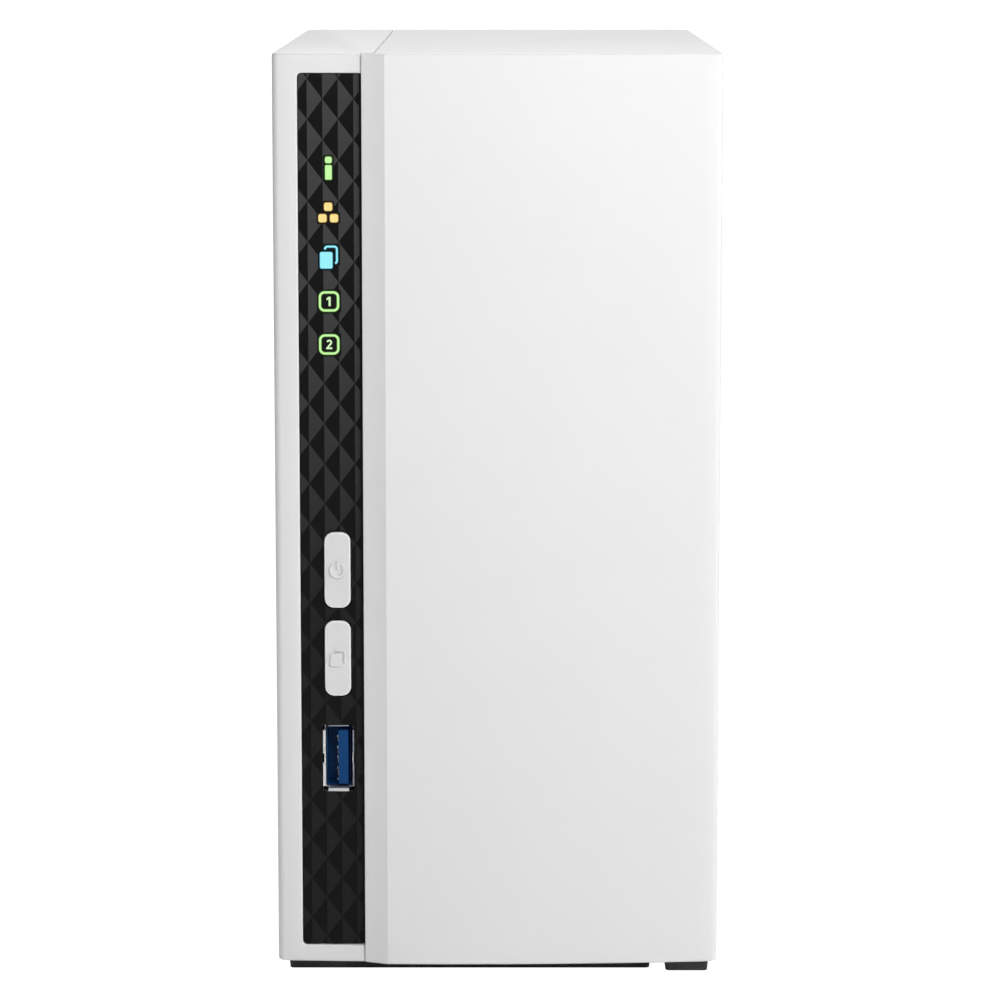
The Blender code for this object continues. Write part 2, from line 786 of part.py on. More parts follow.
def make_drive(number, tray_x):
    """An upright hard drive: a cast base open to the right, its lid, and its board on the left."""
    x0 = tray_x + (TRAY_WIDTH - DRIVE_SIZE[0]) / 2
    x1 = x0 + DRIVE_SIZE[0]
    y = (DRIVE_Y, DRIVE_Y + DRIVE_SIZE[1])
    z = (DRIVE_Z, DRIVE_Z + DRIVE_SIZE[2])
    middle = tray_x + TRAY_WIDTH / 2
    casting = block(f"drive_{number}_casting", (x0 + mm(1.9), x1 - mm(1.1)), y, z, ALUMINIUM)
    cut(
        casting,
        block("cavity", (x1 - mm(12.8), x1 + mm(1)), (y[0] + mm(5.5), y[1] - mm(4)), (z[0] + mm(4), z[1] - mm(4))),
        *drive_screw_holes(middle),
    )
    lid = rounded_rectangle((y[0] + mm(0.6), y[1] - mm(0.6)), (z[0] + mm(0.6), z[1] - mm(0.6)), mm(3), 3)
    slab(f"drive_{number}_lid", "yz", [lid], x1 - mm(0.8), x1, STEEL)
    board = block(
        f"drive_{number}_board", (x0, x0 + mm(1.6)), (y[0] + mm(3), y[1] - mm(3)), (z[0] + mm(1), z[0] + mm(98)), BOARD
    )
    blade = block("blade", (x0 + mm(0.2), x0 + mm(1.4)), mm(-18, 14), (mm(13.2), z[0] + mm(3)))
    fuse(board, blade)
    for index, screw_z in enumerate(DRIVE_SCREW_Z, 1):
        screw(
            f"drive_{number}_screw_{index}",
            Vector((middle, TRAY_Y[0] - GAP, screw_z)),
            Vector((0, -1, 0)),
            head=mm(2.8, 1.3),
            shank=mm(1.5, 6.0),
        )


# ---------------------------------------------------------------- fan


def make_fan_frame():
    y = (PANEL_Y[0] - GAP - FAN_DEPTH, PANEL_Y[0] - GAP)
    half = FAN_SIZE / 2
    outline = rounded_rectangle((-half, half), (FAN_Z - half, FAN_Z + half), mm(4), 3)
    bore = arc((0, FAN_Z), FAN_BORE, 0, 360 - 360 / 32, 31)
    holes = [arc((x, z), mm(2.3), 0, 330, SMALL_ROUND - 1) for x, z in fan_screw_places()]
    frame = slab("fan_frame", "xz", [outline, bore, *holes], *y, DARK)
    spokes = [
        block("spoke", (-half + mm(1), half - mm(1)), (y[1] - mm(2.6), y[1]), around(FAN_Z, mm(3))),
        block("spoke", around(0, mm(3)), (y[1] - mm(2.6), y[1]), (FAN_Z - half + mm(1), FAN_Z + half - mm(1))),
    ]
    base = rod("base", (0, y[1] - mm(2.9), FAN_Z), (0, y[1], FAN_Z), HUB_RADIUS, segments=ROUND)
    tube = rod("bearing", (0, y[0] + mm(7), FAN_Z), (0, y[1] - mm(1), FAN_Z), mm(4))
    fuse(frame, *spokes, base, tube)
    return cut(frame, rod("bearing_bore", (0, 0, FAN_Z), (0, y[1] - mm(1.5), FAN_Z), mm(2.0)))


def make_fan_rotor():
    """Hub cup, shaft and blades; its origin is on the fan's axis."""
    y0 = PANEL_Y[0] - GAP - FAN_DEPTH
    front, back = y0 + mm(3), y0 + mm(21.4)
    rotor = rod("fan_rotor", (0, front, FAN_Z), (0, back, FAN_Z), HUB_RADIUS, DARK, ROUND)
    cut(rotor, rod("cup", (0, front + mm(2), FAN_Z), (0, back + mm(5), FAN_Z), mm(15), segments=ROUND))
    fuse(rotor, rod("shaft", (0, front + mm(1), FAN_Z), (0, back - mm(1.5), FAN_Z), mm(1.5)))
    inner, tip = mm(16.2), mm(36.4)
    pitch = math.radians(38)
    for number in range(BLADE_COUNT):
        blade = block("blade", (inner, tip), around(0, mm(1.5)), around(0, mm(16)))
        blade.data.transform(Matrix.Translation(blade.location))
        around_axis = Matrix.Rotation(2 * math.pi * number / BLADE_COUNT, 4, "Y")
        twist = Matrix.Rotation(pitch, 4, "X")
        place = Matrix.Translation((0, (front + back) / 2, FAN_Z))
        blade.matrix_world = place @ around_axis @ twist
        fuse(rotor, blade)
    return rotor


def smooth_route(points, per_span=4):
    """Points on a smooth curve through the given ones."""
    points = [Vector(p) for p in points]
    ends = [points[0] * 2 - points[1], *points, points[-1] * 2 - points[-2]]
    route = []
    for i in range(1, len(ends) - 2):
        before, start, end, after = ends[i - 1 : i + 3]
        for step in range(per_span):
            t = step / per_span
            route.append(
                0.5
                * (
                    2 * start
                    + (end - before) * t
                    + (2 * before - 5 * start + 4 * end - after) * t**2
                    + (3 * start - before - 3 * end + after) * t**3
                )
            )
    route.append(points[-1])
    return route


def make_fan_lead():
    """The fan's lead, from the frame's lower left corner to its header on the main board."""
    route = smooth_route([
        mm(-33.8, 56, 102.6), mm(-33.8, 55.2, 100.8), mm(-33.4, 52, 98), mm(-32.4, 46, 97.2),
        mm(-32.4, 38, 97.6), mm(-33.4, 32.6, 95.6), mm(-33.8, 31, 92.6), mm(-33.8, 31, 90.1),
    ])
    curve = bpy.data.curves.new("fan_lead", "CURVE")
    curve.dimensions = "3D"
    curve.bevel_depth = mm(1.1)
    curve.bevel_resolution = 1
    curve.use_fill_caps = True
    spline = curve.splines.new("POLY")
    spline.points.add(len(route) - 1)
    for point, place in zip(spline.points, route):
        point.co = (*place, 1)
    lead = bpy.data.objects.new("fan_lead_path", curve)
    UNIT.objects.link(lead)
    return to_mesh(lead, "fan_lead", DARK)


def make_ribbon():
    """The flat cable from the front board round to its header on the main board."""
    thickness = mm(0.4)
    centre = smooth_route(
        [(*mm(-31.5, -61.8), 0), (*mm(-31.5, -59.5), 0), (*mm(-33.4, -57.6), 0), (*mm(-34.1, -55.5), 0), (*mm(-34.1, -52), 0)],
        3,
    )
    sides = []
    for side in (-1, 1):
        edge = []
        for i, point in enumerate(centre):
            ahead = centre[min(i + 1, len(centre) - 1)] - centre[max(i - 1, 0)]
            across = Vector((-ahead.y, ahead.x, 0)).normalized() * side * thickness / 2
            edge.append(tuple((point + across)[:2]))
        sides.append(edge)
    return slab("front_ribbon", "xy", [sides[0] + sides[1][::-1]], *mm(60, 70), GREY)


# ---------------------------------------------------------------- feet and screws


def make_foot(name, x, y):
    """A rubber pad that narrows a little towards the table."""
    foot = block(name, x, y, (0, FOOT_HEIGHT - GAP), RUBBER)
    for vertex in foot.data.vertices:
        if vertex.co.z < 0:
            vertex.co.x -= math.copysign(mm(0.3), vertex.co.x)
            vertex.co.y -= math.copysign(mm(0.3), vertex.co.y)
    return foot


def make_feet():
    make_foot("front_foot", mm(-43.1, 31.6), mm(-70.8, -62.0))
    make_foot("rear_foot", mm(-43.1, 31.6), mm(61.0, 69.8))
    make_foot("cover_front_foot", mm(34.5, 43.5), mm(-73.0, -62.0))
    make_foot("cover_rear_foot", mm(34.5, 43.5), mm(61.0, 71.0))


def make_rear_screws():
    for number, (x, z) in enumerate(fan_screw_places(), 1):
        screw(
            f"fan_screw_{number}",
            Vector((x, PANEL_Y[1] + GAP, z)),
            Vector((0, 1, 0)),
            head=mm(3.6, 1.8),
            shank=mm(2.0, 10.0),
        )
    for number, z in enumerate(SCREW_Z, 1):
        seat = Vector((SCREW_X, PANEL_Y[1] + GAP, z))
        thumbscrew = screw(
            f"cover_thumbscrew_{number}",
            seat,
            Vector((0, 1, 0)),
            head=mm(3.2, 2.6),
            shank=mm(1.5, 9.0),
        )
        slot = block(
            "slot", around(SCREW_X, mm(7)), (seat.y + mm(1.8), seat.y + mm(4)), around(z, mm(0.9))
        )
        cut(thumbscrew, slot)


# ---------------------------------------------------------------- assembly


def build():
    make_sliding_cover()
    make_left_housing()
    make_rear_panel()
    make_fascia()
    make_button("power_button", POWER_Z)
    make_button("copy_button", COPY_Z)
    make_switch("power", POWER_Z)
    make_switch("copy", COPY_Z)
    make_light_guide()
    make_front_board()
    make_usb("front_usb", FRONT_USB_Z, mm(-75.0), 1)
    for number, centre in enumerate(REAR_USB_Z, 1):
        make_usb(f"rear_usb_{number}", centre, PANEL_Y[1], -1)
    make_network_jack()
    make_power_jack()
    make_reset()
    make_mainboard()
    make_heatsink()
    make_board_parts()
    make_backplane()
    make_drive_cage()
    for number, tray_x in enumerate(TRAY_X, 1):
        make_tray(number, tray_x)
        make_drive(number, tray_x)
    make_fan_frame()
    make_fan_rotor()
    make_fan_lead()
    make_ribbon()
    make_feet()
    make_rear_screws()
    for obj in UNIT.objects:
        shade(obj)


build()
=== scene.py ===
"""Looks for the desktop network storage unit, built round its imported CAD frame.

Metres, +Z up, front towards -Y. Every length below is a design size of the unit.
"""

import contextlib
import json
import math
import random

import bmesh
import bpy
from mathutils import Matrix, Vector

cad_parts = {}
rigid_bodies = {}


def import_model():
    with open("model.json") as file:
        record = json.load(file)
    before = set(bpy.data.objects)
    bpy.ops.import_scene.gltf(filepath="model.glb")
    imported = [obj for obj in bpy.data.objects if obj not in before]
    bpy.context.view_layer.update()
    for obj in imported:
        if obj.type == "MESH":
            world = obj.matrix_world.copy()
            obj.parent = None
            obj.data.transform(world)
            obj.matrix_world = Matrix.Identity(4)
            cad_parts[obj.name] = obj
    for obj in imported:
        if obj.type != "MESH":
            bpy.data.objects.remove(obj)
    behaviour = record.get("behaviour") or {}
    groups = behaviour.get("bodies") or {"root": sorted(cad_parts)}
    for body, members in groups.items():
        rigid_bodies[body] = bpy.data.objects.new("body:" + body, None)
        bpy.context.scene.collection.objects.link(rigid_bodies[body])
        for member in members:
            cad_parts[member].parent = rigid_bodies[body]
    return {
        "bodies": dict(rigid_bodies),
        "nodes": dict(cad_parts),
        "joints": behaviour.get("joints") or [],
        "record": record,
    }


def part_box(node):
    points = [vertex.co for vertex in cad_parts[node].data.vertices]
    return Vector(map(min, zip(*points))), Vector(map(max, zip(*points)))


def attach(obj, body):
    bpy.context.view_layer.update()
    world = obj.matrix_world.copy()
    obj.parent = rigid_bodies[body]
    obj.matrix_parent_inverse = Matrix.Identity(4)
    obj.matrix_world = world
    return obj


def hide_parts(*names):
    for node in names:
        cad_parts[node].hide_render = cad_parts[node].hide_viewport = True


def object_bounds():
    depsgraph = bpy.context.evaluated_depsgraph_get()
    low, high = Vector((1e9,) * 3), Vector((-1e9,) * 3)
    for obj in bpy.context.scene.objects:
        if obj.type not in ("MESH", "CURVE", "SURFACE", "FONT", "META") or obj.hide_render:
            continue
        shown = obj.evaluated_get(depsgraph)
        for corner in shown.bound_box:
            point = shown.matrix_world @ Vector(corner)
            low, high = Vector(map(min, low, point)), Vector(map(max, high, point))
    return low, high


def mm(*values):
    """Millimetres as metres: one number, or a tuple of them."""
    scaled = tuple(value * 0.001 for value in values)
    return scaled[0] if len(scaled) == 1 else scaled


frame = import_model()
cad_low, cad_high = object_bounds()

# ---------------------------------------------------------------- sizes

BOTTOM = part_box("left_housing")[0].z
TOP = cad_high.z
LEFT = cad_low.x
RIGHT = cad_high.x
FRONT = cad_low.y
REAR = cad_high.y
WALL = mm(2.4)
FLOOR_WALL = mm(2.8)
GAP = mm(0.3)
INNER_LEFT = LEFT + WALL
INNER_RIGHT = RIGHT - WALL
INNER_BOTTOM = BOTTOM + FLOOR_WALL
INNER_TOP = TOP - WALL

FRONT_ARC_X = mm(-8)
FRONT_ARC_RADIUS = mm(545)
FRAME_RECESS = mm(2.1)
TOP_EDGE_RADIUS = mm(0.5)
SIDE_EDGE_RADIUS = mm(1.5)
REAR_EDGE_RADIUS = mm(4.0)

COVER_LIP_X = mm(-27.2)
COVER_BEVEL_X = mm(-22.5)
COVER_BEVEL_DEPTH = mm(1.85)
COVER_LIP_THICKNESS = mm(0.6)
SEAM_X = mm(-24.4)
LOWER_SEAM_X = mm(33.0)
SEAM_ROUNDING = 0.3  # share of the edge rounding that the seam's sides take

WINDOW_X0 = mm(-40.05)
WINDOW_Z = mm(6.1, 184.65)
FASCIA_FRONT = mm(-74.7)
BUTTON_X = mm(-32.5)
BUTTON_SIZE = mm(5.3, 15.5)
BUTTON_RADIUS = mm(1.9)
BUTTON_FRONT = mm(-75.4)
POWER_Z = mm(84.2)
COPY_Z = mm(66.0)
ICON_X = mm(-33.9)
ICON_Z = mm(165.7, 156.8, 147.8, 138.9, 130.2)
USB_X = mm(-32.5)
USB_SIZE = mm(6.3, 13.7)
FRONT_USB_Z = mm(45.2)
REAR_USB_Z = mm(45.2, 64.0)
PANEL_Y = mm(72.7, 75.1)
FAN_Z = mm(143)
FAN_Y = (PANEL_Y[0] - GAP - mm(25), PANEL_Y[0] - GAP)
FAN_SCREW_SPACING = mm(71.5)
SCREW_X = mm(39.0)
SCREW_Z = mm(12.5, 92)
MAINBOARD_SCREWS = (mm(-54, 18), mm(-54, 91), mm(44, 18), mm(40, 93.5))
BOARD_FACE = mm(-36.6)
TRAY_WIDTH = mm(28.6)
TRAY_X = mm(-25.7, 4.9)
TRAY_Y = mm(-64.6, 42.2)
DRIVE_SIZE = mm(26.1, 101.6, 147.0)
DRIVE_Y = mm(-62.0)
DRIVE_Z = mm(17.9)
DRIVE_SCREW_Z = mm(46, 136)

# The raised diamonds of the dark strip
FACET_WIDTH = mm(3.1)
FACET_HEIGHT = mm(8.175)
FACET_X = mm(-38.1)
FACET_Z = mm(183.6)
FACET_RELIEF = mm(0.22)

# ---------------------------------------------------------------- materials


def add_node(tree, kind, inputs=(), **settings):
    """A node with its settings made and its inputs filled."""
    node = tree.nodes.new("ShaderNode" + kind)
    for name, value in settings.items():
        setattr(node, name, value)
    fill(tree, node, inputs)
    return node


def fill(tree, node, inputs):
    """Gives each named input a value or a colour, or links it to another node's output."""
    for socket, value in dict(inputs).items():
        if isinstance(value, bpy.types.NodeSocket):
            tree.links.new(value, node.inputs[socket])
        elif isinstance(value, tuple) and node.inputs[socket].type == "RGBA":
            node.inputs[socket].default_value = (*value, 1)
        else:
            node.inputs[socket].default_value = value


def fill_shader(material, inputs):
    """Fills inputs of the material's main shader."""
    fill(material.node_tree, material.node_tree.nodes["Principled BSDF"], inputs)


def make_material(name, colour, roughness, metallic=0.0, slot=None, **sockets):
    material = bpy.data.materials.new(name)
    material.use_nodes = True
    fill_shader(material, {"Base Color": colour, "Roughness": roughness, "Metallic": metallic})
    fill_shader(material, {socket.replace("_", " "): value for socket, value in sockets.items()})
    return material


def place_texture(tree, kind, scale, stretch=(1, 1, 1), detail=3.0):
    """A texture on the object's own coordinates; scale is in features per metre."""
    where = add_node(tree, "TexCoord")
    mapping = add_node(tree, "Mapping", {"Scale": stretch, "Vector": where.outputs["Object"]})
    texture = add_node(tree, kind, {"Scale": scale, "Vector": mapping.outputs["Vector"]})
    if "Detail" in texture.inputs:
        texture.inputs["Detail"].default_value = detail
    return texture


def vary(material, socket, driver, low, high, ends=(0.3, 0.7)):
    """Drives a socket between two values, or two colours, as the driving output goes between its ends."""
    ramp = add_node(material.node_tree, "ValToRGB", {"Fac": driver})
    for element, value, position in zip(ramp.color_ramp.elements, (low, high), ends):
        element.color = (*value, 1) if isinstance(value, tuple) else (value, value, value, 1)
        element.position = position
    fill_shader(material, {socket: ramp.outputs["Color"]})


def add_bump(material, height_output, distance):
    """Relief of that depth from a texture's output."""
    relief = {"Height": height_output, "Distance": distance, "Strength": 1.0}
    bump = add_node(material.node_tree, "Bump", relief)
    fill_shader(material, {"Normal": bump.outputs["Normal"]})


def shade_of(colour, factor):
    """The colour, lighter or darker by a factor."""
    return tuple(min(1.0, channel * factor) for channel in colour)


def grained(material, colour, tone, roughness, grain, height):
    """Adds a slow drift of tone, and a fine grain in the gloss and the surface."""
    (drift, spread), (scale, stretch, detail), (dull, bright) = tone, grain, roughness
    tree = material.node_tree
    slow = place_texture(tree, "TexNoise", drift)
    shades = [shade_of(colour, factor) for factor in (1 - spread, 1 + spread)]
    vary(material, "Base Color", slow.outputs["Fac"], *shades)
    fine = place_texture(tree, "TexNoise", scale, stretch, detail)
    vary(material, "Roughness", fine.outputs["Fac"], dull, min(1.0, bright))
    add_bump(material, fine.outputs["Fac"], height)
    return material


def moulded(
    name, colour, roughness, grain=2600, height=mm(0.012), spread=0.03, slot="dark_plastic", **sockets
):
    """Moulded plastic with a fine eroded grain."""
    material = make_material(name, colour, roughness, slot=slot, **sockets)
    gloss = (roughness * 0.9, roughness * 1.12)
    return grained(material, colour, (35, spread), gloss, (grain, (1, 1, 1), 2.0), height)


def metal(name, colour, roughness, stretch=(1, 1, 1), grain=900, height=mm(0.01), slot="steel"):
    """Metal with a rolled, brushed or cast grain."""
    material = make_material(name, colour, roughness, metallic=1.0, slot=slot)
    gloss = (roughness * 0.8, roughness * 1.3)
    return grained(material, colour, (60, 0.08), gloss, (grain, stretch, 4.0), height)


def glowing(name, colour, strength):
    """A lit window: the light is a little uneven in the grain of the diffuser."""
    sockets = {"Specular_IOR_Level": 0.1, "Emission_Strength": strength}
    material = make_material(name, shade_of(colour, 0.02), 0.5, slot="light_guide", **sockets)
    grain = place_texture(material.node_tree, "TexNoise", 1800)
    vary(material, "Emission Color", grain.outputs["Fac"], shade_of(colour, 0.94), colour)
    return material


def circuit_board(name, colour):
    """Solder mask with tracks under it and small bare pads."""
    material = make_material(name, colour, 0.38, slot="circuit_board", Coat_Weight=0.4, Coat_Roughness=0.2)
    tree = material.node_tree
    tracks = place_texture(tree, "TexBrick", 130)
    colours = {"Color1": colour, "Color2": shade_of(colour, 1.25), "Mortar": shade_of(colour, 2.1)}
    fill(tree, tracks, {**colours, "Mortar Size": 0.05})
    pads = place_texture(tree, "TexVoronoi", 420)
    fill(tree, pads, {"Randomness": 0.75})
    dots = add_node(tree, "Math", {0: pads.outputs["Distance"], 1: 0.16}, operation="LESS_THAN")
    bare = {"Factor": dots.outputs["Value"], "A": tracks.outputs["Color"], "B": (0.55, 0.53, 0.45)}
    mix = add_node(tree, "Mix", bare, data_type="RGBA")
    fill_shader(material, {"Base Color": mix.outputs["Result"]})
    add_bump(material, tracks.outputs["Fac"], mm(0.02))
    return material


def striped(name, colour, line_colour, pitch):
    """Flat cable: insulation with a conductor showing along each rib."""
    material = make_material(name, colour, 0.5)
    tree = material.node_tree
    where = add_node(tree, "TexCoord").outputs["Object"]
    wave = add_node(tree, "TexWave", {"Scale": math.pi / 10 / pitch, "Vector": where}, bands_direction="Z")
    vary(material, "Base Color", wave.outputs["Fac"], line_colour, colour)
    add_bump(material, wave.outputs["Fac"], mm(0.15))
    return material


def painted_light_facet(name, low, high, roughness):
    """Dark strip facet with painted light: its colour goes from the high tone at the top to the low tone at
    the bottom, as the light falling on the strip does.
    """
    material = make_material(name, low, roughness, Specular_IOR_Level=0.12)
    tree = material.node_tree
    where = add_node(tree, "TexCoord").outputs["Object"]
    split = add_node(tree, "SeparateXYZ", {"Vector": where})
    # Painted light and shade: the colour follows height alone, in place of how the light on the strip changes
    # from top to bottom.
    heights = {"From Min": mm(74), "From Max": mm(140), "Value": split.outputs["Z"]}
    painted_fade = add_node(tree, "MapRange", heights)
    vary(material, "Base Color", painted_fade.outputs["Result"], low, high, ends=(0, 1))
    fine = place_texture(tree, "TexNoise", 2200)
    vary(material, "Roughness", fine.outputs["Fac"], roughness * 0.85, roughness * 1.15)
    return material


WHITE = moulded("white_shell", (0.83, 0.83, 0.83), 0.5, spread=0.006, slot="white_shell")
# Lit and shaded copies of one facet plastic: painted light for the facets that face right, painted shade for
# those that face left.
FACET_PAINTED_SHADE = painted_light_facet("facet_painted_shade", (0.0050, 0.0050, 0.0054), (0.0042, 0.0042, 0.0046), 0.5)
FACET_PAINTED_LIGHT = painted_light_facet("facet_painted_light", (0.0135, 0.0135, 0.014), (0.047, 0.047, 0.048), 0.5)
BLACK = moulded(
    "black_gloss", (0.006, 0.006, 0.0065), 0.35, 1800, mm(0.004), slot="black_fascia", Specular_IOR_Level=0.15
)
BUTTON = moulded("button_white", (0.76, 0.76, 0.76), 0.42, 3200, mm(0.006), 0.01, "grey_button")
# A lighter copy of the button plastic for the cap's rolled rim: a painted highlight.
BUTTON_RIM_PAINTED_HIGHLIGHT = moulded("button_rim_painted_highlight", (0.93, 0.93, 0.93), 0.35, 3200, mm(0.004), 0.01)
GREEN_LIGHT = glowing("green_light", (0.60, 1.0, 0.40), 1.0)
PALE_LIGHT = glowing("pale_green_light", (0.66, 0.93, 0.52), 1.0)
AMBER_LIGHT = glowing("amber_light", (1.0, 0.80, 0.30), 0.97)
CYAN_LIGHT = glowing("cyan_light", (0.34, 0.93, 1.0), 0.97)
GREEN_RIM = glowing("green_rim", (0.16, 0.42, 0.08), 0.6)
AMBER_RIM = glowing("amber_rim", (0.5, 0.27, 0.06), 0.6)
CYAN_RIM = glowing("cyan_rim", (0.03, 0.25, 0.42), 0.6)
CLEAR = moulded(
    "clear_guide", (0.75, 0.8, 0.78), 0.2, 1500, mm(0.004), slot="light_guide", Transmission_Weight=0.6
)
RUBBER = moulded("foot_rubber", (0.040, 0.040, 0.042), 0.75, 1400, mm(0.03), 0.12, "rubber")
DARK = moulded("dark_plastic", (0.018, 0.018, 0.019), 0.5, 1900, mm(0.02), 0.1)
FAN_PLASTIC = moulded("fan_plastic", (0.022, 0.022, 0.023), 0.42, 1500, mm(0.015), 0.1)
TRAY_PLASTIC = moulded("tray_plastic", (0.045, 0.047, 0.05), 0.55, 1700, mm(0.025), 0.1)
USB_BLUE = moulded(
    "usb_blue", (0.0035, 0.055, 0.19), 0.45, 2400, mm(0.006), 0.06, "blue_plastic", Specular_IOR_Level=0.15
)
LABEL = moulded("paper_label", (0.72, 0.73, 0.74), 0.55, 900, mm(0.01), 0.03)
LABEL_INK = moulded("label_ink", (0.05, 0.07, 0.09), 0.5, 900, mm(0.005), 0.05)
CERAMIC = moulded("ceramic", (0.36, 0.25, 0.15), 0.4, 2600, mm(0.006), 0.15)
LAMP = moulded("lamp_body", (0.75, 0.74, 0.6), 0.3, 1500, mm(0.004), 0.03, "light_guide")
STEEL = metal("sheet_steel", (0.56, 0.57, 0.58), 0.34, (1, 0.12, 1), 1300)
SOCKET_STEEL = metal("socket_steel", (0.72, 0.73, 0.75), 0.3, (1, 0.2, 1), 2500, mm(0.004))
SHELL_STEEL = metal("shell_steel", (0.93, 0.93, 0.94), 0.48, (1, 0.2, 1), 2500, mm(0.004))
LID_STEEL = metal("lid_steel", (0.66, 0.67, 0.68), 0.3, (1, 1, 0.08), 1500, mm(0.006))
SCREW_STEEL = metal("screw_steel", (0.5, 0.5, 0.5), 0.28, grain=2500, height=mm(0.004))
BLACK_SCREW = metal("black_screw", (0.06, 0.06, 0.065), 0.38, grain=2500, height=mm(0.004))
CASTING = metal("cast_aluminium", (0.50, 0.51, 0.52), 0.45, grain=1100, height=mm(0.05))
FIN_ALUMINIUM = metal("fin_aluminium", (0.72, 0.73, 0.75), 0.35, (1, 1, 0.15), 1600, slot="aluminium")
GOLD = metal("gold_contact", (0.83, 0.6, 0.25), 0.28, grain=2500, height=mm(0.002))
PCB = circuit_board("green_board", (0.012, 0.085, 0.035))
CHIP = moulded("chip_black", (0.02, 0.02, 0.021), 0.42, 2600, mm(0.01), 0.1)
HEADER_WHITE = moulded("header_white", (0.62, 0.6, 0.54), 0.45, 1500, spread=0.05)
WIRE_COLOURS = {"black": (0.02, 0.02, 0.02), "red": (0.4, 0.02, 0.02), "yellow": (0.6, 0.45, 0.03)}
WIRES = [
    moulded(f"wire_{name}", colour, 0.45, 1500, mm(0.006), 0.08) for name, colour in WIRE_COLOURS.items()
]
RIBBON = striped("ribbon_cable", (0.62, 0.62, 0.64), (0.42, 0.42, 0.45), mm(1.0))

# ---------------------------------------------------------------- shape helpers

WORK = bpy.data.collections.new("network_storage_looks")
bpy.context.scene.collection.children.link(WORK)


def link(name, mesh, location=(0, 0, 0)):
    """A new object in the working collection."""
    made = bpy.data.objects.new(name, mesh)
    made.location = location
    WORK.objects.link(made)
    return made


def from_bmesh(name, shape):
    mesh = bpy.data.meshes.new(name)
    shape.to_mesh(mesh)
    shape.free()
    return link(name, mesh)


@contextlib.contextmanager
def editing(mesh):
    """The mesh as a shape that can be edited, written back at the end."""
    shape = bmesh.new()
    shape.from_mesh(mesh)
    yield shape
    shape.to_mesh(mesh)
    shape.free()


def block(x, y, z):
    """A box between two limits on each axis."""
    size = [high - low for low, high in (x, y, z)]
    middle = [(low + high) / 2 for low, high in (x, y, z)]
    shape = bmesh.new()
    bmesh.ops.create_cube(shape, size=1, matrix=Matrix.Translation(middle) @ Matrix.Diagonal((*size, 1)))
    return from_bmesh("block", shape)


def block_of(node):
    """The box of a CAD node."""
    return block(*zip(*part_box(node)))


def turn_to(axis):
    """The turn that brings the z axis to another direction."""
    return Vector(axis).to_track_quat("Z", "Y").to_matrix().to_4x4()


def rod(start, end, radius, segments=32):
    """A cylinder between two points."""
    start, end = Vector(start), Vector(end)
    place = Matrix.Translation((start + end) / 2) @ turn_to(end - start)
    shape = bmesh.new()
    bmesh.ops.create_cone(
        shape, cap_ends=True, segments=segments, radius1=radius, radius2=radius, depth=(end - start).length,
        matrix=place,
    )
    return from_bmesh("rod", shape)


# For each plane, the turn from the xy plane and the direction across it
PLANES = {
    "xy": ((0, 0, 0), (0, 0, 1)),
    "xz": ((math.pi / 2, 0, 0), (0, 1, 0)),
    "yz": ((math.pi / 2, 0, math.pi / 2), (1, 0, 0)),
}


def slab(plane, loops, low, high):
    """A flat outline, with holes for the further loops, thick between low and high across its plane."""
    curve = bpy.data.curves.new("slab", "CURVE")
    curve.dimensions = "2D"
    curve.fill_mode = "BOTH"
    curve.extrude = (high - low) / 2
    for loop in loops:
        add_spline(curve, [(u, v, 0) for u, v in loop], closed=True)
    turn, across = PLANES[plane]
    return curve_mesh(curve, turn, Vector(across) * (low + high) / 2)


def add_spline(curve, points, closed=False):
    spline = curve.splines.new("POLY")
    spline.points.add(len(points) - 1)
    for point, place in zip(spline.points, points):
        point.co = (*place, 1)
    spline.use_cyclic_u = closed


def evaluated(obj):
    """A new mesh of the object as it looks with its modifiers."""
    bpy.context.view_layer.update()
    graph = bpy.context.evaluated_depsgraph_get()
    return bpy.data.meshes.new_from_object(obj.evaluated_get(graph))


def curve_mesh(curve, turn=(0, 0, 0), location=(0, 0, 0)):
    """A curve as a closed mesh object, with its place in its vertices."""
    source = link("curve", curve, location)
    source.rotation_euler = turn
    mesh = evaluated(source)
    mesh.transform(source.matrix_world)
    with editing(mesh) as shape:
        bmesh.ops.remove_doubles(shape, verts=shape.verts, dist=mm(0.001))
        bmesh.ops.dissolve_limit(
            shape, angle_limit=math.radians(0.05), verts=shape.verts, edges=shape.edges
        )
        bmesh.ops.recalc_face_normals(shape, faces=shape.faces)
    bpy.data.objects.remove(source)
    return link("slab", mesh)


def stack(layers):
    """Outlines with equal numbers of points at rising heights, joined by walls and closed by flat ends."""
    shape = bmesh.new()
    rings = [[shape.verts.new((x, y, z)) for x, y in outline] for z, outline in layers]
    for lower, upper in zip(rings, rings[1:]):
        for i in range(len(lower)):
            following = (i + 1) % len(lower)
            shape.faces.new((lower[i], lower[following], upper[following], upper[i]))
    shape.faces.new(rings[0][::-1])
    shape.faces.new(rings[-1])
    return from_bmesh("stack", shape)


def place_along(obj, origin, axis):
    """Turns a mesh made round the z axis to another axis, from an origin."""
    obj.data.transform(Matrix.Translation(origin) @ turn_to(axis))
    return obj


def turned(origin, axis, profile, segments=32, teeth=0.0):
    """A turned shape: profile gives (distance along the axis, radius); teeth draws in every second point."""
    layers = []
    for along, radius in profile:
        reach = [radius * (1 - teeth * (i % 2)) for i in range(segments)]
        angles = [2 * math.pi * i / segments for i in range(segments)]
        layers.append((along, [(r * math.cos(a), r * math.sin(a)) for r, a in zip(reach, angles)]))
    return place_along(stack(layers), origin, axis)


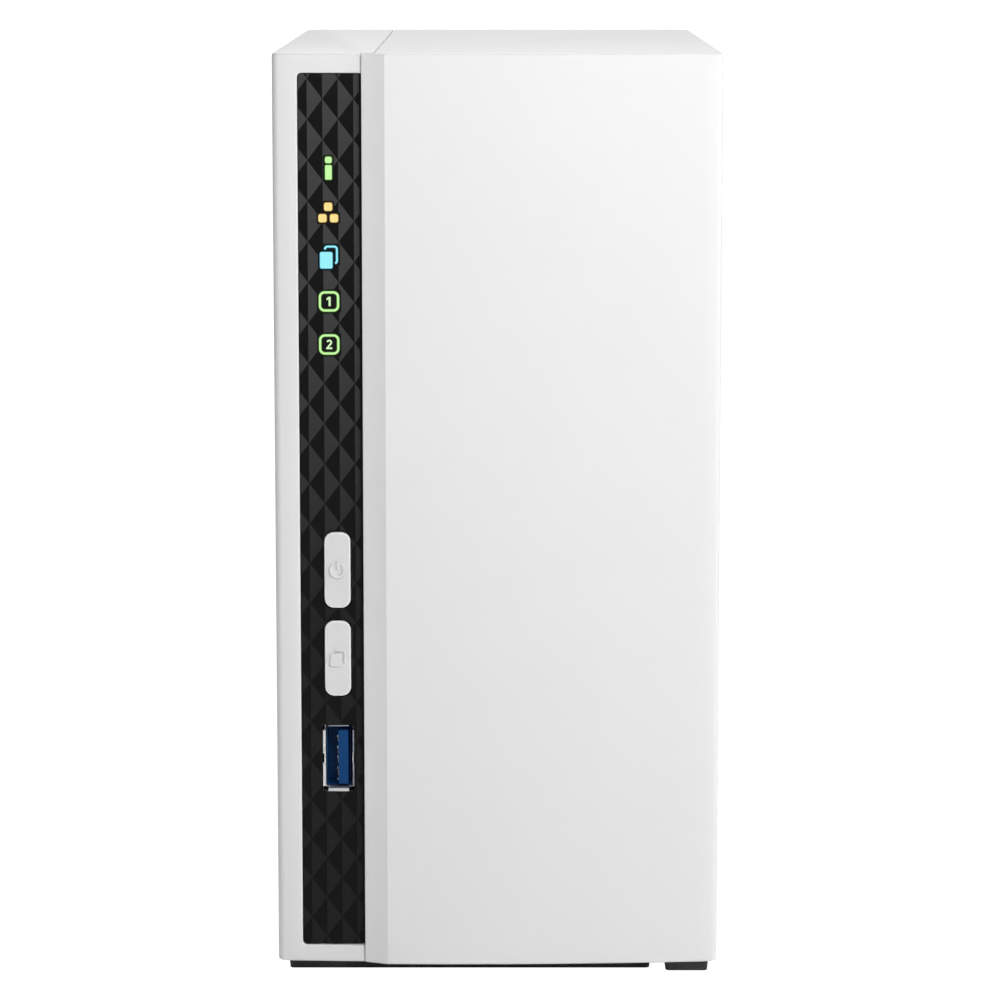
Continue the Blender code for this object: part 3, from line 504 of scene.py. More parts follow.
def rounded_ends(outline, low, high, radius):
    """Layers for stack: outline(inset) drawn in by a quarter circle at the bottom and at the top."""
    steps = 6
    angles = [math.pi / 2 * i / steps for i in range(steps + 1)]
    curve = [(radius * (1 - math.sin(angle)), radius * (1 - math.cos(angle))) for angle in angles]
    bottom = [(low + rise, outline(inset)) for inset, rise in curve]
    top = [(high - rise, outline(inset)) for inset, rise in reversed(curve)]
    return bottom + top


def combine(obj, operation, tools):
    """Applies one Boolean after another and removes the tools."""
    for tool in tools:
        modifier = obj.modifiers.new(operation, "BOOLEAN")
        modifier.operation = operation
        modifier.solver = "EXACT"
        modifier.object = tool
        mesh = evaluated(obj)
        obj.modifiers.clear()
        obj.data = mesh
        bpy.data.objects.remove(tool)
    return obj


def cut(obj, *tools):
    return combine(obj, "DIFFERENCE", tools)


def fuse(obj, *tools):
    return combine(obj, "UNION", tools)


def keep(obj, *tools):
    return combine(obj, "INTERSECT", tools)


def group(*objects):
    """Several meshes as one, without a Boolean: they stay separate shells in one piece."""
    shape = bmesh.new()
    for obj in objects:
        shape.from_mesh(obj.data)
    first = objects[0]
    for obj in objects[1:]:
        bpy.data.objects.remove(obj)
    mesh = bpy.data.meshes.new(first.name)
    shape.to_mesh(mesh)
    shape.free()
    first.data = mesh
    return first


def arc(centre, radius, start, end, steps):
    """Points on an arc, angles in degrees."""
    angles = [math.radians(start + (end - start) * i / steps) for i in range(steps + 1)]
    return [(centre[0] + radius * math.cos(angle), centre[1] + radius * math.sin(angle)) for angle in angles]


def circle(centre, radius, steps=32):
    """A closed outline of that many points."""
    return arc(centre, radius, 0, 360 * (steps - 1) / steps, steps - 1)


def rounded_rectangle(u, v, radius, steps=6):
    """A closed outline between limits, with rounded corners."""
    (u0, u1), (v0, v1) = sorted(u), sorted(v)
    points = []
    for cu, cv, start in ((u1, v1, 0), (u0, v1, 90), (u0, v0, 180), (u1, v0, 270)):
        inward_u = radius if cu == u0 else -radius
        inward_v = radius if cv == v0 else -radius
        points += arc((cu + inward_u, cv + inward_v), radius, start, start + 90, steps)
    return points


def around(centre, size, extra=0.0):
    """Limits of a span of that size about a centre, widened by extra on each side."""
    return centre - size / 2 - extra, centre + size / 2 + extra


def soften(obj, width, segments=3, where=None):
    """Rounds sharp edges, or only those whose middle satisfies where(point)."""
    angle = math.radians(35)
    bevel = obj.modifiers.new("rounded_edges", "BEVEL")
    bevel.width = width
    bevel.segments = segments
    bevel.harden_normals = True
    bevel.use_clamp_overlap = True
    bevel.miter_outer = "MITER_ARC"
    if where is None:
        bevel.limit_method = "ANGLE"
        bevel.angle_limit = angle
        return obj
    bevel.limit_method = "WEIGHT"
    with editing(obj.data) as shape:
        weight = shape.edges.layers.float.new("bevel_weight_edge")
        for edge in shape.edges:
            sharp = len(edge.link_faces) == 2 and edge.calc_face_angle(0) > angle
            middle = (edge.verts[0].co + edge.verts[1].co) / 2
            edge[weight] = 1.0 if sharp and where(middle) else 0.0
    return obj


def piece(obj, name, material, replaces=(), body="chassis", smooth=35):
    """Names a finished mesh, shades and paints it, and ties it to its body and its CAD nodes."""
    obj.name = name
    obj.data.name = name
    if material is not None:
        obj.data.materials.clear()
        obj.data.materials.append(material)
        obj.data.polygons.foreach_set("material_index", [0] * len(obj.data.polygons))
    obj.data.shade_smooth()
    obj.data.set_sharp_from_angle(angle=math.radians(smooth))
    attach(obj, body)
    if replaces:
        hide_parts(*replaces)
    return obj


def front_y(x):
    """How far forward the cover's face reaches at x."""
    return FRONT + (x - FRONT_ARC_X) ** 2 / (2 * FRONT_ARC_RADIUS)


def front_points(x0, x1, steps, offset=0.0):
    """Points along the curved front, set back by offset."""
    xs = [x0 + (x1 - x0) * i / steps for i in range(steps + 1)]
    return [(x, front_y(x) + offset) for x in xs]


def corner(x, y, radius, start, steps=8):
    """A plan corner at (x, y) rounded inwards; start is the angle at which its arc begins."""
    middle = math.radians(start + 45)
    centre = (
        x - radius * math.copysign(1, math.cos(middle)),
        y - radius * math.copysign(1, math.sin(middle)),
    )
    return arc(centre, radius, start, start + 90, steps)


# ---------------------------------------------------------------- case


def make_cover():
    """Front, top and right side in one moulding, with a bevelled lip that laps over the dark strip."""
    lip_y = front_y(COVER_LIP_X) + COVER_BEVEL_DEPTH
    lip_back = lip_y + COVER_LIP_THICKNESS

    def outline(inset):
        side = RIGHT - inset
        seam = SEAM_X + inset * SEAM_ROUNDING
        return [
            (seam, lip_back),
            (COVER_LIP_X, lip_back),
            *corner(COVER_LIP_X, min(lip_y + inset, lip_back - GAP), mm(0.25), 180, 4),
            *front_points(COVER_BEVEL_X, RIGHT - SIDE_EDGE_RADIUS * 1.7, 40, inset),
            *corner(side, front_y(RIGHT) + inset, SIDE_EDGE_RADIUS, 270),
            *corner(side, REAR, REAR_EDGE_RADIUS, 0),
            (seam, REAR),
        ]

    cover = stack(rounded_ends(outline, BOTTOM, TOP, TOP_EDGE_RADIUS))
    inside = [
        *front_points(LEFT, INNER_RIGHT, 30, WALL),
        (INNER_RIGHT, REAR + WALL),
        (LEFT, REAR + WALL),
    ]
    under = [
        *front_points(LEFT, LOWER_SEAM_X, 24, WALL),
        (LOWER_SEAM_X, REAR + WALL),
        (LEFT, REAR + WALL),
    ]
    cut(
        cover,
        slab("xy", [inside], INNER_BOTTOM, INNER_TOP),
        slab("xy", [under], 0, INNER_BOTTOM + WALL),
    )
    bosses = [
        block(mm(35.6, 43.5), mm(63, 72.4), (z - mm(4), z + mm(4))) for z in SCREW_Z
    ]
    ribs = [
        block(mm(41.7, 43.2), around(y, mm(1.2)), mm(20, 180)) for y in mm(-45, -15, 15, 45)
    ]
    roof_ribs = [
        block(mm(-17, 43), around(y, mm(1.2)), mm(185.2, 186.8)) for y in mm(-45, -15, 15, 45)
    ]
    rail = block(mm(-19.2, -18.2), mm(-60, 60), mm(183.4, 187.0))
    fuse(cover, rail, *bosses, *ribs, *roof_ribs)
    cut(cover, *[rod((SCREW_X, mm(60), z), (SCREW_X, REAR, z), mm(1.9), 24) for z in SCREW_Z])
    return piece(cover, "cover_shell", WHITE, ["sliding_cover"], body="cover", smooth=18)


def window_cutter():
    """The strip's opening, whose mouth rolls out into the curved front of the frame."""
    roll = mm(0.28)
    turns = [math.pi / 2 * i / 4 for i in range(5)]
    rolled = [(roll * (1 - math.sin(turn)), roll * (1 - math.cos(turn))) for turn in turns]
    levels = [(mm(5), 0.0), *rolled, (mm(-3), roll)]
    across = [mm(-38 + 2 * i) for i in range(10)]
    far = mm(-18)

    def outline(growth):
        low, high = WINDOW_Z[0] - growth, WINDOW_Z[1] + growth
        radius = mm(0.9) + growth
        left = WINDOW_X0 - growth
        upper = arc((left + radius, high - radius), radius, 180, 90, 8)
        lower = arc((left + radius, low + radius), radius, 270, 180, 8)
        top = [(x, high) for x in (*across, far)]
        bottom = [(x, low) for x in (far, *across[::-1])]
        return [*upper, *top, *bottom, *lower]

    cutter = stack([(depth, outline(growth)) for depth, growth in levels])
    for vertex in cutter.data.vertices:
        u, v, depth = vertex.co
        vertex.co = (u, front_y(u) + FRAME_RECESS + depth, v)
    return turned_out(cutter)


def turned_out(obj):
    """The same mesh with every face pointing outwards."""
    with editing(obj.data) as shape:
        bmesh.ops.recalc_face_normals(shape, faces=shape.faces)
    return obj


def make_housing():
    """Left side, front frame, top strip and the floor."""
    x_right = SEAM_X - GAP

    def outline(inset):
        side = LEFT + inset
        seam = x_right - inset * SEAM_ROUNDING
        return [
            *corner(side, front_y(LEFT) + FRAME_RECESS + inset, SIDE_EDGE_RADIUS, 180),
            *front_points(LEFT + SIDE_EDGE_RADIUS * 1.7, seam, 16, FRAME_RECESS + inset),
            (seam, REAR),
            *corner(side, REAR, REAR_EDGE_RADIUS, 90),
        ]

    housing = stack(rounded_ends(outline, BOTTOM, TOP, TOP_EDGE_RADIUS))
    inside = [
        *front_points(INNER_LEFT, mm(-10), 12, FRAME_RECESS + WALL),
        (mm(-10), REAR + WALL),
        (INNER_LEFT, REAR + WALL),
    ]
    cut(
        housing,
        slab("xy", [inside], INNER_BOTTOM, INNER_TOP),
        window_cutter(),
        block((COVER_LIP_X - GAP, mm(-18)), mm(-80, -75.0), mm(0, 200)),
    )
    floor = [
        *front_points(mm(-30), LOWER_SEAM_X - GAP, 24, WALL + GAP),
        (LOWER_SEAM_X - GAP, REAR),
        (mm(-30), REAR),
    ]
    ledge = block(mm(-30, -19.5), mm(-66, 71), mm(184.4, 185.9))
    ledge_root = block(mm(-30, -25.5), mm(-66, 71), mm(185, 187))
    flange_root = block(mm(29, 32.5), mm(-60, 70), mm(4.5, 7.2))
    flange = block(mm(32, 36.8), mm(-60, 70), mm(5.7, 7.2))
    standoffs = [rod((mm(-43.5), y, z), (mm(-38.5), y, z), mm(3), 24) for y, z in MAINBOARD_SCREWS]
    posts = [
        rod((x, y, mm(4)), (x, y, mm(7.7)), mm(2), 24) for x in mm(-21, 22) for y in mm(-20, 16)
    ]
    seam_x = (SEAM_X - mm(0.45), SEAM_X - mm(0.06))
    seam_strip = block(seam_x, mm(-66, 71), (mm(185.5), TOP - mm(0.3)))
    fuse(
        housing, slab("xy", [floor], BOTTOM, INNER_BOTTOM), ledge_root, ledge, seam_strip,
        flange_root, flange, *standoffs, *posts,
    )
    pilots = [rod((mm(-42.6), y, z), (mm(-38), y, z), mm(1.6), 16) for y, z in MAINBOARD_SCREWS]
    vents = [rounded_rectangle(around(mm(-8 + 5.5 * i), mm(2.4)), mm(-40, 30), mm(1.2)) for i in range(-2, 5)]
    cut(housing, *pilots, *[slab("xy", [vent], 0, mm(8)) for vent in vents])
    return piece(housing, "housing_shell", WHITE, ["left_housing"])


def grille_slots():
    """Rings of curved slots between spokes, centred on the fan."""
    slots = []
    for ring in range(4):
        inner = mm(9 + 7.4 * ring)
        outer = inner + mm(4.6)
        spoke = math.degrees(mm(1.6) / inner)
        for quarter in range(4):
            start = 45 + 90 * quarter + spoke
            end = 135 + 90 * quarter - spoke
            steps = 8 + 5 * ring
            slots.append(
                arc((0, FAN_Z), outer, start, end, steps) + arc((0, FAN_Z), inner, end, start, steps)
            )
    return slots


def fan_screw_places():
    """Centres of the fan's four screws, in x and z."""
    half = FAN_SCREW_SPACING / 2
    return [(sx * half, FAN_Z + sz * half) for sx in (-1, 1) for sz in (-1, 1)]


def socket_outline(low, high, extra=GAP):
    """The panel opening round a socket, from the socket's box."""
    return rounded_rectangle(
        (low.x - extra, high.x + extra), (low.z - extra, high.z + extra), mm(0.6), 4
    )


def make_rear_panel():
    """The plate across the rear, with the fan's grille and the openings for sockets and screws."""
    outer = rounded_rectangle(
        (INNER_LEFT + GAP, INNER_RIGHT - GAP), (INNER_BOTTOM + GAP, INNER_TOP - GAP), mm(1.0), 6
    )
    sockets = [
        socket_outline(*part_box(node))
        for node in ("rear_usb_1_shell", "rear_usb_2_shell", "network_jack", "power_jack")
    ]
    lock_slot = rounded_rectangle(mm(20, 27), mm(12, 15), mm(0.8), 5)
    holes = [circle((x, z), mm(2.3)) for x, z in fan_screw_places()]
    holes += [circle((SCREW_X, z), mm(2.0)) for z in SCREW_Z]
    reset_low, reset_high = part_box("reset_plunger")
    reset = (reset_low + reset_high) / 2
    holes.append(circle((reset.x, reset.z), mm(1.3)))
    panel = slab("xz", [outer, *sockets, lock_slot, *holes, *grille_slots()], *PANEL_Y)
    soften(panel, mm(0.25), 2)
    return piece(panel, "rear_panel_looks", WHITE, ["rear_panel"])


# ---------------------------------------------------------------- dark strip


def facet_sheet(depth):
    """Raised diamonds, each split down its middle, as a solid that reaches back by depth."""
    shape = bmesh.new()
    corners = {}

    def node(column, half_row, rise=0):
        key = (column, half_row, rise)
        if key not in corners:
            x = FACET_X + column * FACET_WIDTH
            z = FACET_Z - half_row * FACET_HEIGHT / 2
            corners[key] = shape.verts.new((x, FASCIA_FRONT - rise, z))
        return corners[key]

    for column in range(-1, 6):
        for half_row in range(-2, 48):
            if (column + half_row) % 2:
                centre = node(column, half_row, FACET_RELIEF)
                top, bottom = node(column, half_row - 1), node(column, half_row + 1)
                left, right = node(column - 1, half_row), node(column + 1, half_row)
                for a, b in ((top, left), (left, bottom), (bottom, right), (right, top)):
                    shape.faces.new((centre, a, b))
    bmesh.ops.recalc_face_normals(shape, faces=shape.faces)
    if shape.faces[:][0].normal.y > 0:
        bmesh.ops.reverse_faces(shape, faces=shape.faces)
    back = bmesh.ops.extrude_face_region(shape, geom=shape.faces[:])
    for element in back["geom"]:
        if isinstance(element, bmesh.types.BMVert):
            element.co.y = FASCIA_FRONT + depth
    bmesh.ops.recalc_face_normals(shape, faces=shape.faces)
    return from_bmesh("facets", shape)


def ring_outline(centre, size, stroke, radius):
    """Outer and inner loops of a rounded square ring."""
    return [
        rounded_rectangle(around(centre[0], size, -trim), around(centre[1], size, -trim), radius - trim, 8)
        for trim in (0, stroke)
    ]


def stroke_outline(path, width):
    """A closed outline round an open path of that width, with square ends."""
    half = width / 2
    left, right = [], []
    for i, (u, v) in enumerate(path):
        u0, v0 = path[max(i - 1, 0)]
        u1, v1 = path[min(i + 1, len(path) - 1)]
        length = math.hypot(u1 - u0, v1 - v0)
        nu, nv = -(v1 - v0) / length * half, (u1 - u0) / length * half
        left.append((u + nu, v + nv))
        right.append((u - nu, v - nv))
    return left + right[::-1]


def digit_one(x, z):
    """The numeral 1 as a stem and a flag."""
    stem = rounded_rectangle((x - mm(0.08), x + mm(0.34)), (z - mm(0.95), z + mm(0.95)), mm(0.05), 2)
    flag = [
        (x - mm(0.05), z + mm(0.95)), (x - mm(0.5), z + mm(0.6)),
        (x - mm(0.5), z + mm(0.2)), (x - mm(0.05), z + mm(0.48)),
    ]
    return [[stem], [flag]]


def digit_two(x, z):
    """The numeral 2 as a stroke and a foot."""
    bowl = arc((x, z + mm(0.4)), mm(0.4), 165, -35, 10)
    path = [*bowl, (x - mm(0.4), z - mm(0.75))]
    foot = rounded_rectangle(around(x, mm(1.25)), (z - mm(0.95), z - mm(0.6)), mm(0.05), 2)
    return [[stroke_outline(path, mm(0.36))], [foot]]


def icon_shapes(extra=0.0):
    """Each lit icon as (name, lit material, rim material, shapes), widened by extra on every side."""
    x = ICON_X
    info, network, copy, drive_1, drive_2 = ICON_Z

    def plate(u, v, radius):
        return [
            rounded_rectangle((u[0] - extra, u[1] + extra), (v[0] - extra, v[1] + extra), radius + extra)
        ]

    i_width = around(x + mm(0.05), mm(1.3))
    dot = plate(i_width, (info + mm(1.0), info + mm(2.25)), mm(0.35))
    bar = plate(i_width, (info - mm(2.3), info + mm(0.55)), mm(0.2))
    squares = [
        plate(around(x + dx, mm(1.6)), around(network + dz, mm(1.6)), mm(0.4))
        for dx, dz in (mm(-0.05, 1.15), mm(-1.2, -1.15), mm(1.12, -1.15))
    ]
    sheet = plate((x - mm(1.75), x + mm(0.75)), (copy - mm(2.25), copy + mm(1.05)), mm(0.35))
    behind = [
        (x - mm(0.75), copy + mm(1.55)), *arc((x - mm(0.25), copy + mm(1.65)), mm(0.5), 150, 90, 3),
        *arc((x + mm(1.1), copy + mm(1.6)), mm(0.55), 90, 0, 6), (x + mm(1.65), copy - mm(0.6)),
        *arc((x + mm(1.2), copy - mm(0.75)), mm(0.45), 0, -80, 4),
    ]
    size, stroke = mm(4.05) + 2 * extra, mm(0.4) + 2 * extra
    rings = [
        (f"drive_{number}", GREEN_LIGHT, GREEN_RIM, [ring_outline((x, z), size, stroke, mm(1.15) + extra)])
        for number, z in ((1, drive_1), (2, drive_2))
    ]
    return [
        ("info", GREEN_LIGHT, GREEN_RIM, [dot, bar]),
        ("network", AMBER_LIGHT, AMBER_RIM, squares),
        ("copy", CYAN_LIGHT, CYAN_RIM, [sheet, [stroke_outline(behind, mm(0.36) + 2 * extra)]]),
        *rings,
    ]


def grown(loops, margin):
    """The bounding rounded rectangle of a shape, widened by margin."""
    us = [u for loop in loops for u, v in loop]
    vs = [v for loop in loops for u, v in loop]
    return rounded_rectangle(
        (min(us) - margin, max(us) + margin), (min(vs) - margin, max(vs) + margin), mm(0.55), 5
    )


def make_fascia():
    """The faceted dark strip, its smooth surrounds for the icons, and the openings for the controls."""
    x = (WINDOW_X0 + GAP * 0.6, mm(-25.0))
    z = (WINDOW_Z[0] + GAP * 0.6, WINDOW_Z[1] - GAP * 0.6)
    openings = [
        rounded_rectangle(
            around(BUTTON_X, BUTTON_SIZE[0], GAP), around(centre, BUTTON_SIZE[1], GAP), BUTTON_RADIUS + GAP
        )
        for centre in (POWER_Z, COPY_Z)
    ]
    openings.append(
        rounded_rectangle(
            around(USB_X, USB_SIZE[0], mm(0.12)), around(FRONT_USB_Z, USB_SIZE[1], mm(0.12)), mm(0.8), 5
        )
    )
    window = slab("xz", [rounded_rectangle(x, z, mm(0.8), 5), *openings], mm(-76), mm(-72.5))
    fascia = keep(facet_sheet(mm(1.4)), window)
    pockets = [
        slab("xz", [grown(loops, mm(0.42))], mm(-76), FASCIA_FRONT + mm(0.12))
        for *_, shapes in icon_shapes() for loops in shapes
    ]
    # A flat black border without facets beside the cover's lip: a real recessed step, left flat and black as
    # painted shadow of the lip.
    margin = block((COVER_LIP_X - mm(0.5), mm(-20)), (mm(-80), FASCIA_FRONT + mm(0.4)), mm(0, 200))
    cut(fascia, margin, *pockets)
    mesh = fascia.data
    mesh.materials.clear()
    for material in (BLACK, FACET_PAINTED_SHADE, FACET_PAINTED_LIGHT):
        mesh.materials.append(material)
    # Facets facing right take the painted-light copy and those facing left the painted-shade copy; flat faces
    # take the black.
    for face in mesh.polygons:
        facing = face.normal.y < -0.9 and face.center.y < FASCIA_FRONT + mm(0.02)
        tilt = face.normal.x
        face.material_index = 0 if not facing or abs(tilt) < 0.02 else (2 if tilt > 0 else 1)
    piece(fascia, "faceted_strip", None, ["front_fascia"], smooth=1)
    backing = block((WINDOW_X0 - mm(1.0), mm(-25.2)), mm(-72.2, -71.3), (z[0] - mm(0.6), z[1] + mm(0.8)))
    through = mm(-80, -60)
    cut(backing, *[slab("xz", [opening], *through) for opening in openings])
    piece(backing, "strip_backing", BLACK)


def make_lights():
    """Lit icon shapes standing in their smooth surrounds, on one clear guide."""
    guide = block(around(ICON_X, mm(4.6)), mm(-70.9, -66.0), mm(126.5, 169.5))
    soften(guide, mm(0.3), 2)
    piece(guide, "light_guide_bar", CLEAR, ["indicator_light_guide"])
    back = FASCIA_FRONT + mm(0.1)
    front = FASCIA_FRONT - mm(0.05)
    for suffix, extra, drop in (("", 0.0, 0.0), ("_rim", mm(0.13), mm(0.03))):
        for name, light, rim, shapes in icon_shapes(extra):
            solids = [slab("xz", loops, front + drop, back) for loops in shapes]
            piece(group(*solids), f"icon_{name}{suffix}", rim if suffix else light)
    for number, make, z in ((1, digit_one, ICON_Z[3]), (2, digit_two, ICON_Z[4])):
        solids = [slab("xz", loops, front, back) for loops in make(ICON_X, z)]
        piece(group(*solids), f"icon_digit_{number}", PALE_LIGHT)


def power_symbol(x, z):
    """A raised open ring with a bar through its gap."""
    ring = stroke_outline(arc((x, z), mm(1.4), 124, 416, 32), mm(0.7))
    bar = rounded_rectangle(around(x, mm(0.5)), (z + mm(0.25), z + mm(1.9)), mm(0.2), 4)
    return [[ring], [bar]]


def copy_symbol(x, z):
    """A raised sheet with the corner of a second one showing behind it."""
    front_sheet = rounded_rectangle((x - mm(1.6), x + mm(0.8)), (z - mm(1.65), z + mm(1.05)), mm(0.45), 5)
    behind = [
        (x - mm(0.6), z + mm(1.65)), *arc((x + mm(1.05), z + mm(1.3)), mm(0.35), 90, 0, 4),
        (x + mm(1.4), z - mm(0.9)),
    ]
    return [[front_sheet], [stroke_outline(behind, mm(0.42))]]


def make_button(name, centre_z, symbol):
    """A cap with a rolled rim made lighter as a painted highlight, its flange and stem, and its raised
    symbol.
    """

    def plate(extra, radius, steps, front, back):
        u, v = around(BUTTON_X, BUTTON_SIZE[0], extra), around(centre_z, BUTTON_SIZE[1], extra)
        return slab("xz", [rounded_rectangle(u, v, radius, steps)], front, back)

    cap = plate(0.0, BUTTON_RADIUS, 10, BUTTON_FRONT, mm(-70.9))
    piece(cap, f"{name}_cap", BUTTON, [name], body=name)
    cap.data.materials.append(BUTTON_RIM_PAINTED_HIGHLIGHT)
    soften(cap, mm(0.3), 5, where=lambda p: p.y < BUTTON_FRONT + mm(0.05))
    # The rounded rim takes the lighter copy, a painted highlight.
    cap.modifiers["rounded_edges"].material = 1
    flange = plate(mm(0.8), mm(1.5), 6, mm(-70.88), mm(-70.1))
    stem = rod(*[(BUTTON_X, y, centre_z) for y in mm(-70.15, -69.2)], mm(1.3), 24)
    piece(fuse(flange, stem), f"{name}_flange", BUTTON, body=name)
    front, back = BUTTON_FRONT - mm(0.38), BUTTON_FRONT + mm(0.1)
    raised = group(*[slab("xz", loops, front, back) for loops in symbol(BUTTON_X, centre_z)])
    piece(soften(raised, mm(0.2), 3), f"{name}_symbol", BUTTON, body=name)


def make_switch(name, centre_z):
    """A push switch: moulded body, metal face plate and the turned plunger."""
    body = block(around(BUTTON_X, mm(6)), mm(-67.5, -64.0), around(centre_z, mm(6)))
    cut(body, rod((BUTTON_X, mm(-69), centre_z), (BUTTON_X, mm(-65.2), centre_z), mm(1.85)))
    soften(body, mm(0.2), 2)
    piece(body, f"{name}_switch_body", DARK, [f"{name}_switch"])
    square = rounded_rectangle(around(BUTTON_X, mm(5.6)), around(centre_z, mm(5.6)), mm(0.4), 3)
    plate = slab("xz", [square, circle((BUTTON_X, centre_z), mm(1.95))], *mm(-67.75, -67.52))
    piece(plate, f"{name}_switch_plate", SOCKET_STEEL)
    make_plunger(f"{name}_switch_plunger", (BUTTON_X, mm(-66.9), centre_z), (0, -1, 0), mm(1.45), mm(2.0))


def make_plunger(node, origin, axis, radius, length):
    """A turned plunger with a rounded tip."""
    profile = [
        (0, radius * 0.9), (mm(0.1), radius), (length - mm(0.35), radius),
        (length - mm(0.15), radius * 0.92), (length, radius * 0.7),
    ]
    plunger = turned(origin, axis, profile)
    piece(plunger, f"{node}_turned", HEADER_WHITE, [node], body=node)


# ---------------------------------------------------------------- sockets


def make_usb(name, centre_z, face_y, inward, plastic):
    """A drawn metal shell with a flared, split mouth, its plastic floor, tongue and contacts."""
    x = around(USB_X, USB_SIZE[0])
    z = around(centre_z, USB_SIZE[1])
    depth, flare, sheet = mm(16), mm(0.2), mm(0.3)

    def deep(near, far):
        """Limits in y between two depths behind the face."""
        return sorted((face_y + inward * mm(near), face_y + inward * mm(far)))

    def ring(inset):
        far = inset * 0.6
        return rounded_rectangle((x[0] + inset, x[1] - far), (z[0] + inset, z[1] - far), mm(0.75) - inset, 5)

    sections = [
        (depth, flare), (mm(0.9), flare), (0.0, 0.0), (0.0, mm(0.08)), (mm(0.4), flare + sheet),
        (depth, flare + sheet),
    ]
    tube = stack([(along, ring(inset)) for along, inset in sections])
    with editing(tube.data) as shape:
        for vertex in shape.verts:
            u, v, along = vertex.co
            vertex.co = (u, face_y + inward * along, v)
        ends = [face for face in shape.faces if len(face.verts) > 4]
        bmesh.ops.delete(shape, geom=ends, context="FACES_ONLY")
        bmesh.ops.bridge_loops(shape, edges=[edge for edge in shape.edges if edge.is_boundary])
        bmesh.ops.recalc_face_normals(shape, faces=shape.faces)
    notches = [block(around(side, mm(1.6)), deep(-1, 0.95), around(centre_z, mm(2.0))) for side in x]
    corners = [
        block(around(side, mm(2.1)), deep(-1, 3.2), around(edge, mm(2.1))) for side in x for edge in z
    ]
    cut(tube, *notches, *corners)
    piece(tube, f"{name}_tube", SHELL_STEEL, [f"{name}_shell"])
    inner_x = (x[0] + mm(0.75), x[1] - mm(0.75))
    inner_z = (z[0] + mm(0.75), z[1] - mm(0.75))
    floor = block(inner_x, deep(7.5, 15.3), inner_z)
    piece(soften(floor, mm(0.15), 2), f"{name}_floor", plastic, [f"{name}_core"])
    lining = block(inner_x, deep(3.0, 7.45), inner_z)
    open_x = (inner_x[0] + mm(0.12), inner_x[1] - mm(0.1))
    open_z = (inner_z[0] + mm(0.12), inner_z[1] - mm(0.12))
    cut(lining, block(open_x, deep(0, 16), open_z))
    piece(lining, f"{name}_lining", plastic)
    tongue = block((USB_X - mm(0.1), USB_X + mm(2.0)), deep(1.2, 7.45), around(centre_z, mm(11.2)))
    piece(soften(tongue, mm(0.25), 3), f"{name}_tongue", plastic)

    def strips(rise, y, width, offsets):
        """Metal strips lying on the tongue."""
        lying = (USB_X - rise, USB_X - mm(0.11))
        return group(*[block(lying, y, around(centre_z + offset, width)) for offset in offsets])

    piece(strips(mm(0.2), deep(2.6, 7.4), mm(1.0), mm(-3.5, -1.0, 1.0, 3.5)), f"{name}_contacts", GOLD)
    tips = strips(mm(0.32), deep(1.5, 2.1), mm(0.42), mm(-4.6, -2.3, 0, 2.0, 4.3))
    piece(soften(tips, mm(0.08), 2), f"{name}_tips", SOCKET_STEEL)


def make_network_jack():
    """A shielded socket with eight spring contacts and two small lamps."""
    low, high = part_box("network_jack")
    middle = (low.z + high.z) / 2
    sheet = mm(0.3)
    mouth = [
        rounded_rectangle(mm(-33.6, -25.2), around(middle, mm(11.9)), mm(0.4), 3),
        rounded_rectangle(mm(-25.2, -24.0), around(middle, mm(5.0)), mm(0.2), 2),
    ]

    def inner():
        y = (low.y, high.y - sheet)
        return block((low.x + sheet, high.x - sheet), y, (low.z + sheet, high.z - sheet))

    def opening():
        return [slab("xz", [loop], mm(61), mm(80)) for loop in mouth]

    piece(cut(inner(), *opening()), "network_jack_body", DARK, ["network_jack"])
    lamps = [around(middle + side * mm(5.1), mm(2.6)) for side in (-1, 1)]
    lamp_x = mm(-36.0, -34.3)
    shield = block((low.x, high.x), (low.y + mm(3), high.y), (low.z, high.z))
    cut(shield, inner(), *opening(), *[block(lamp_x, mm(70, 80), z) for z in lamps])
    piece(soften(shield, mm(0.12), 2), "network_jack_shield", SOCKET_STEEL)
    windows = [
        block(
            (lamp_x[0] + mm(0.05), lamp_x[1] - mm(0.05)),
            (high.y - sheet, high.y - mm(0.02)),
            (z[0] + mm(0.05), z[1] - mm(0.05)),
        )
        for z in lamps
    ]
    piece(group(*windows), "network_jack_lamps", LAMP)
    turn = Matrix.Translation(mm(-33.2, 64.0, 0)) @ Matrix.Rotation(math.radians(58), 4, "Z")
    springs = [
        block((0, mm(7)), mm(-0.12, 0.12), around(middle + mm(1.02) * (i - 3.5), mm(0.4))) for i in range(8)
    ]
    for spring in springs:
        spring.data.transform(turn)
    piece(group(*springs), "network_jack_contacts", GOLD)


def make_power_jack():
    """A round power socket with its sleeve, centre pin and inner end."""
    low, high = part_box("power_jack")
    x, z = (low.x + high.x) / 2, (low.z + high.z) / 2
    body = cut(block_of("power_jack"), rod((x, mm(65), z), (x, mm(80), z), mm(3.35), 40))
    piece(soften(body, mm(0.4), 3), "power_jack_body", DARK, ["power_jack"])
    for name, material, segments, profile in (
        ("sleeve", SOCKET_STEEL, 40, ((65.4, 3.05), (74.6, 3.05), (74.8, 3.2), (74.6, 3.3), (65.2, 3.3))),
        ("end", DARK, 40, ((65.45, 2.98), (66.0, 2.98), (66.2, 2.7))),
        ("pin", SOCKET_STEEL, 24, ((64.8, 1.0), (73.4, 1.0), (73.9, 0.8), (74.2, 0.4))),
    ):
        made = turned((x, 0, z), (0, 1, 0), [mm(*point) for point in profile], segments)
        piece(made, f"power_jack_{name}", material)


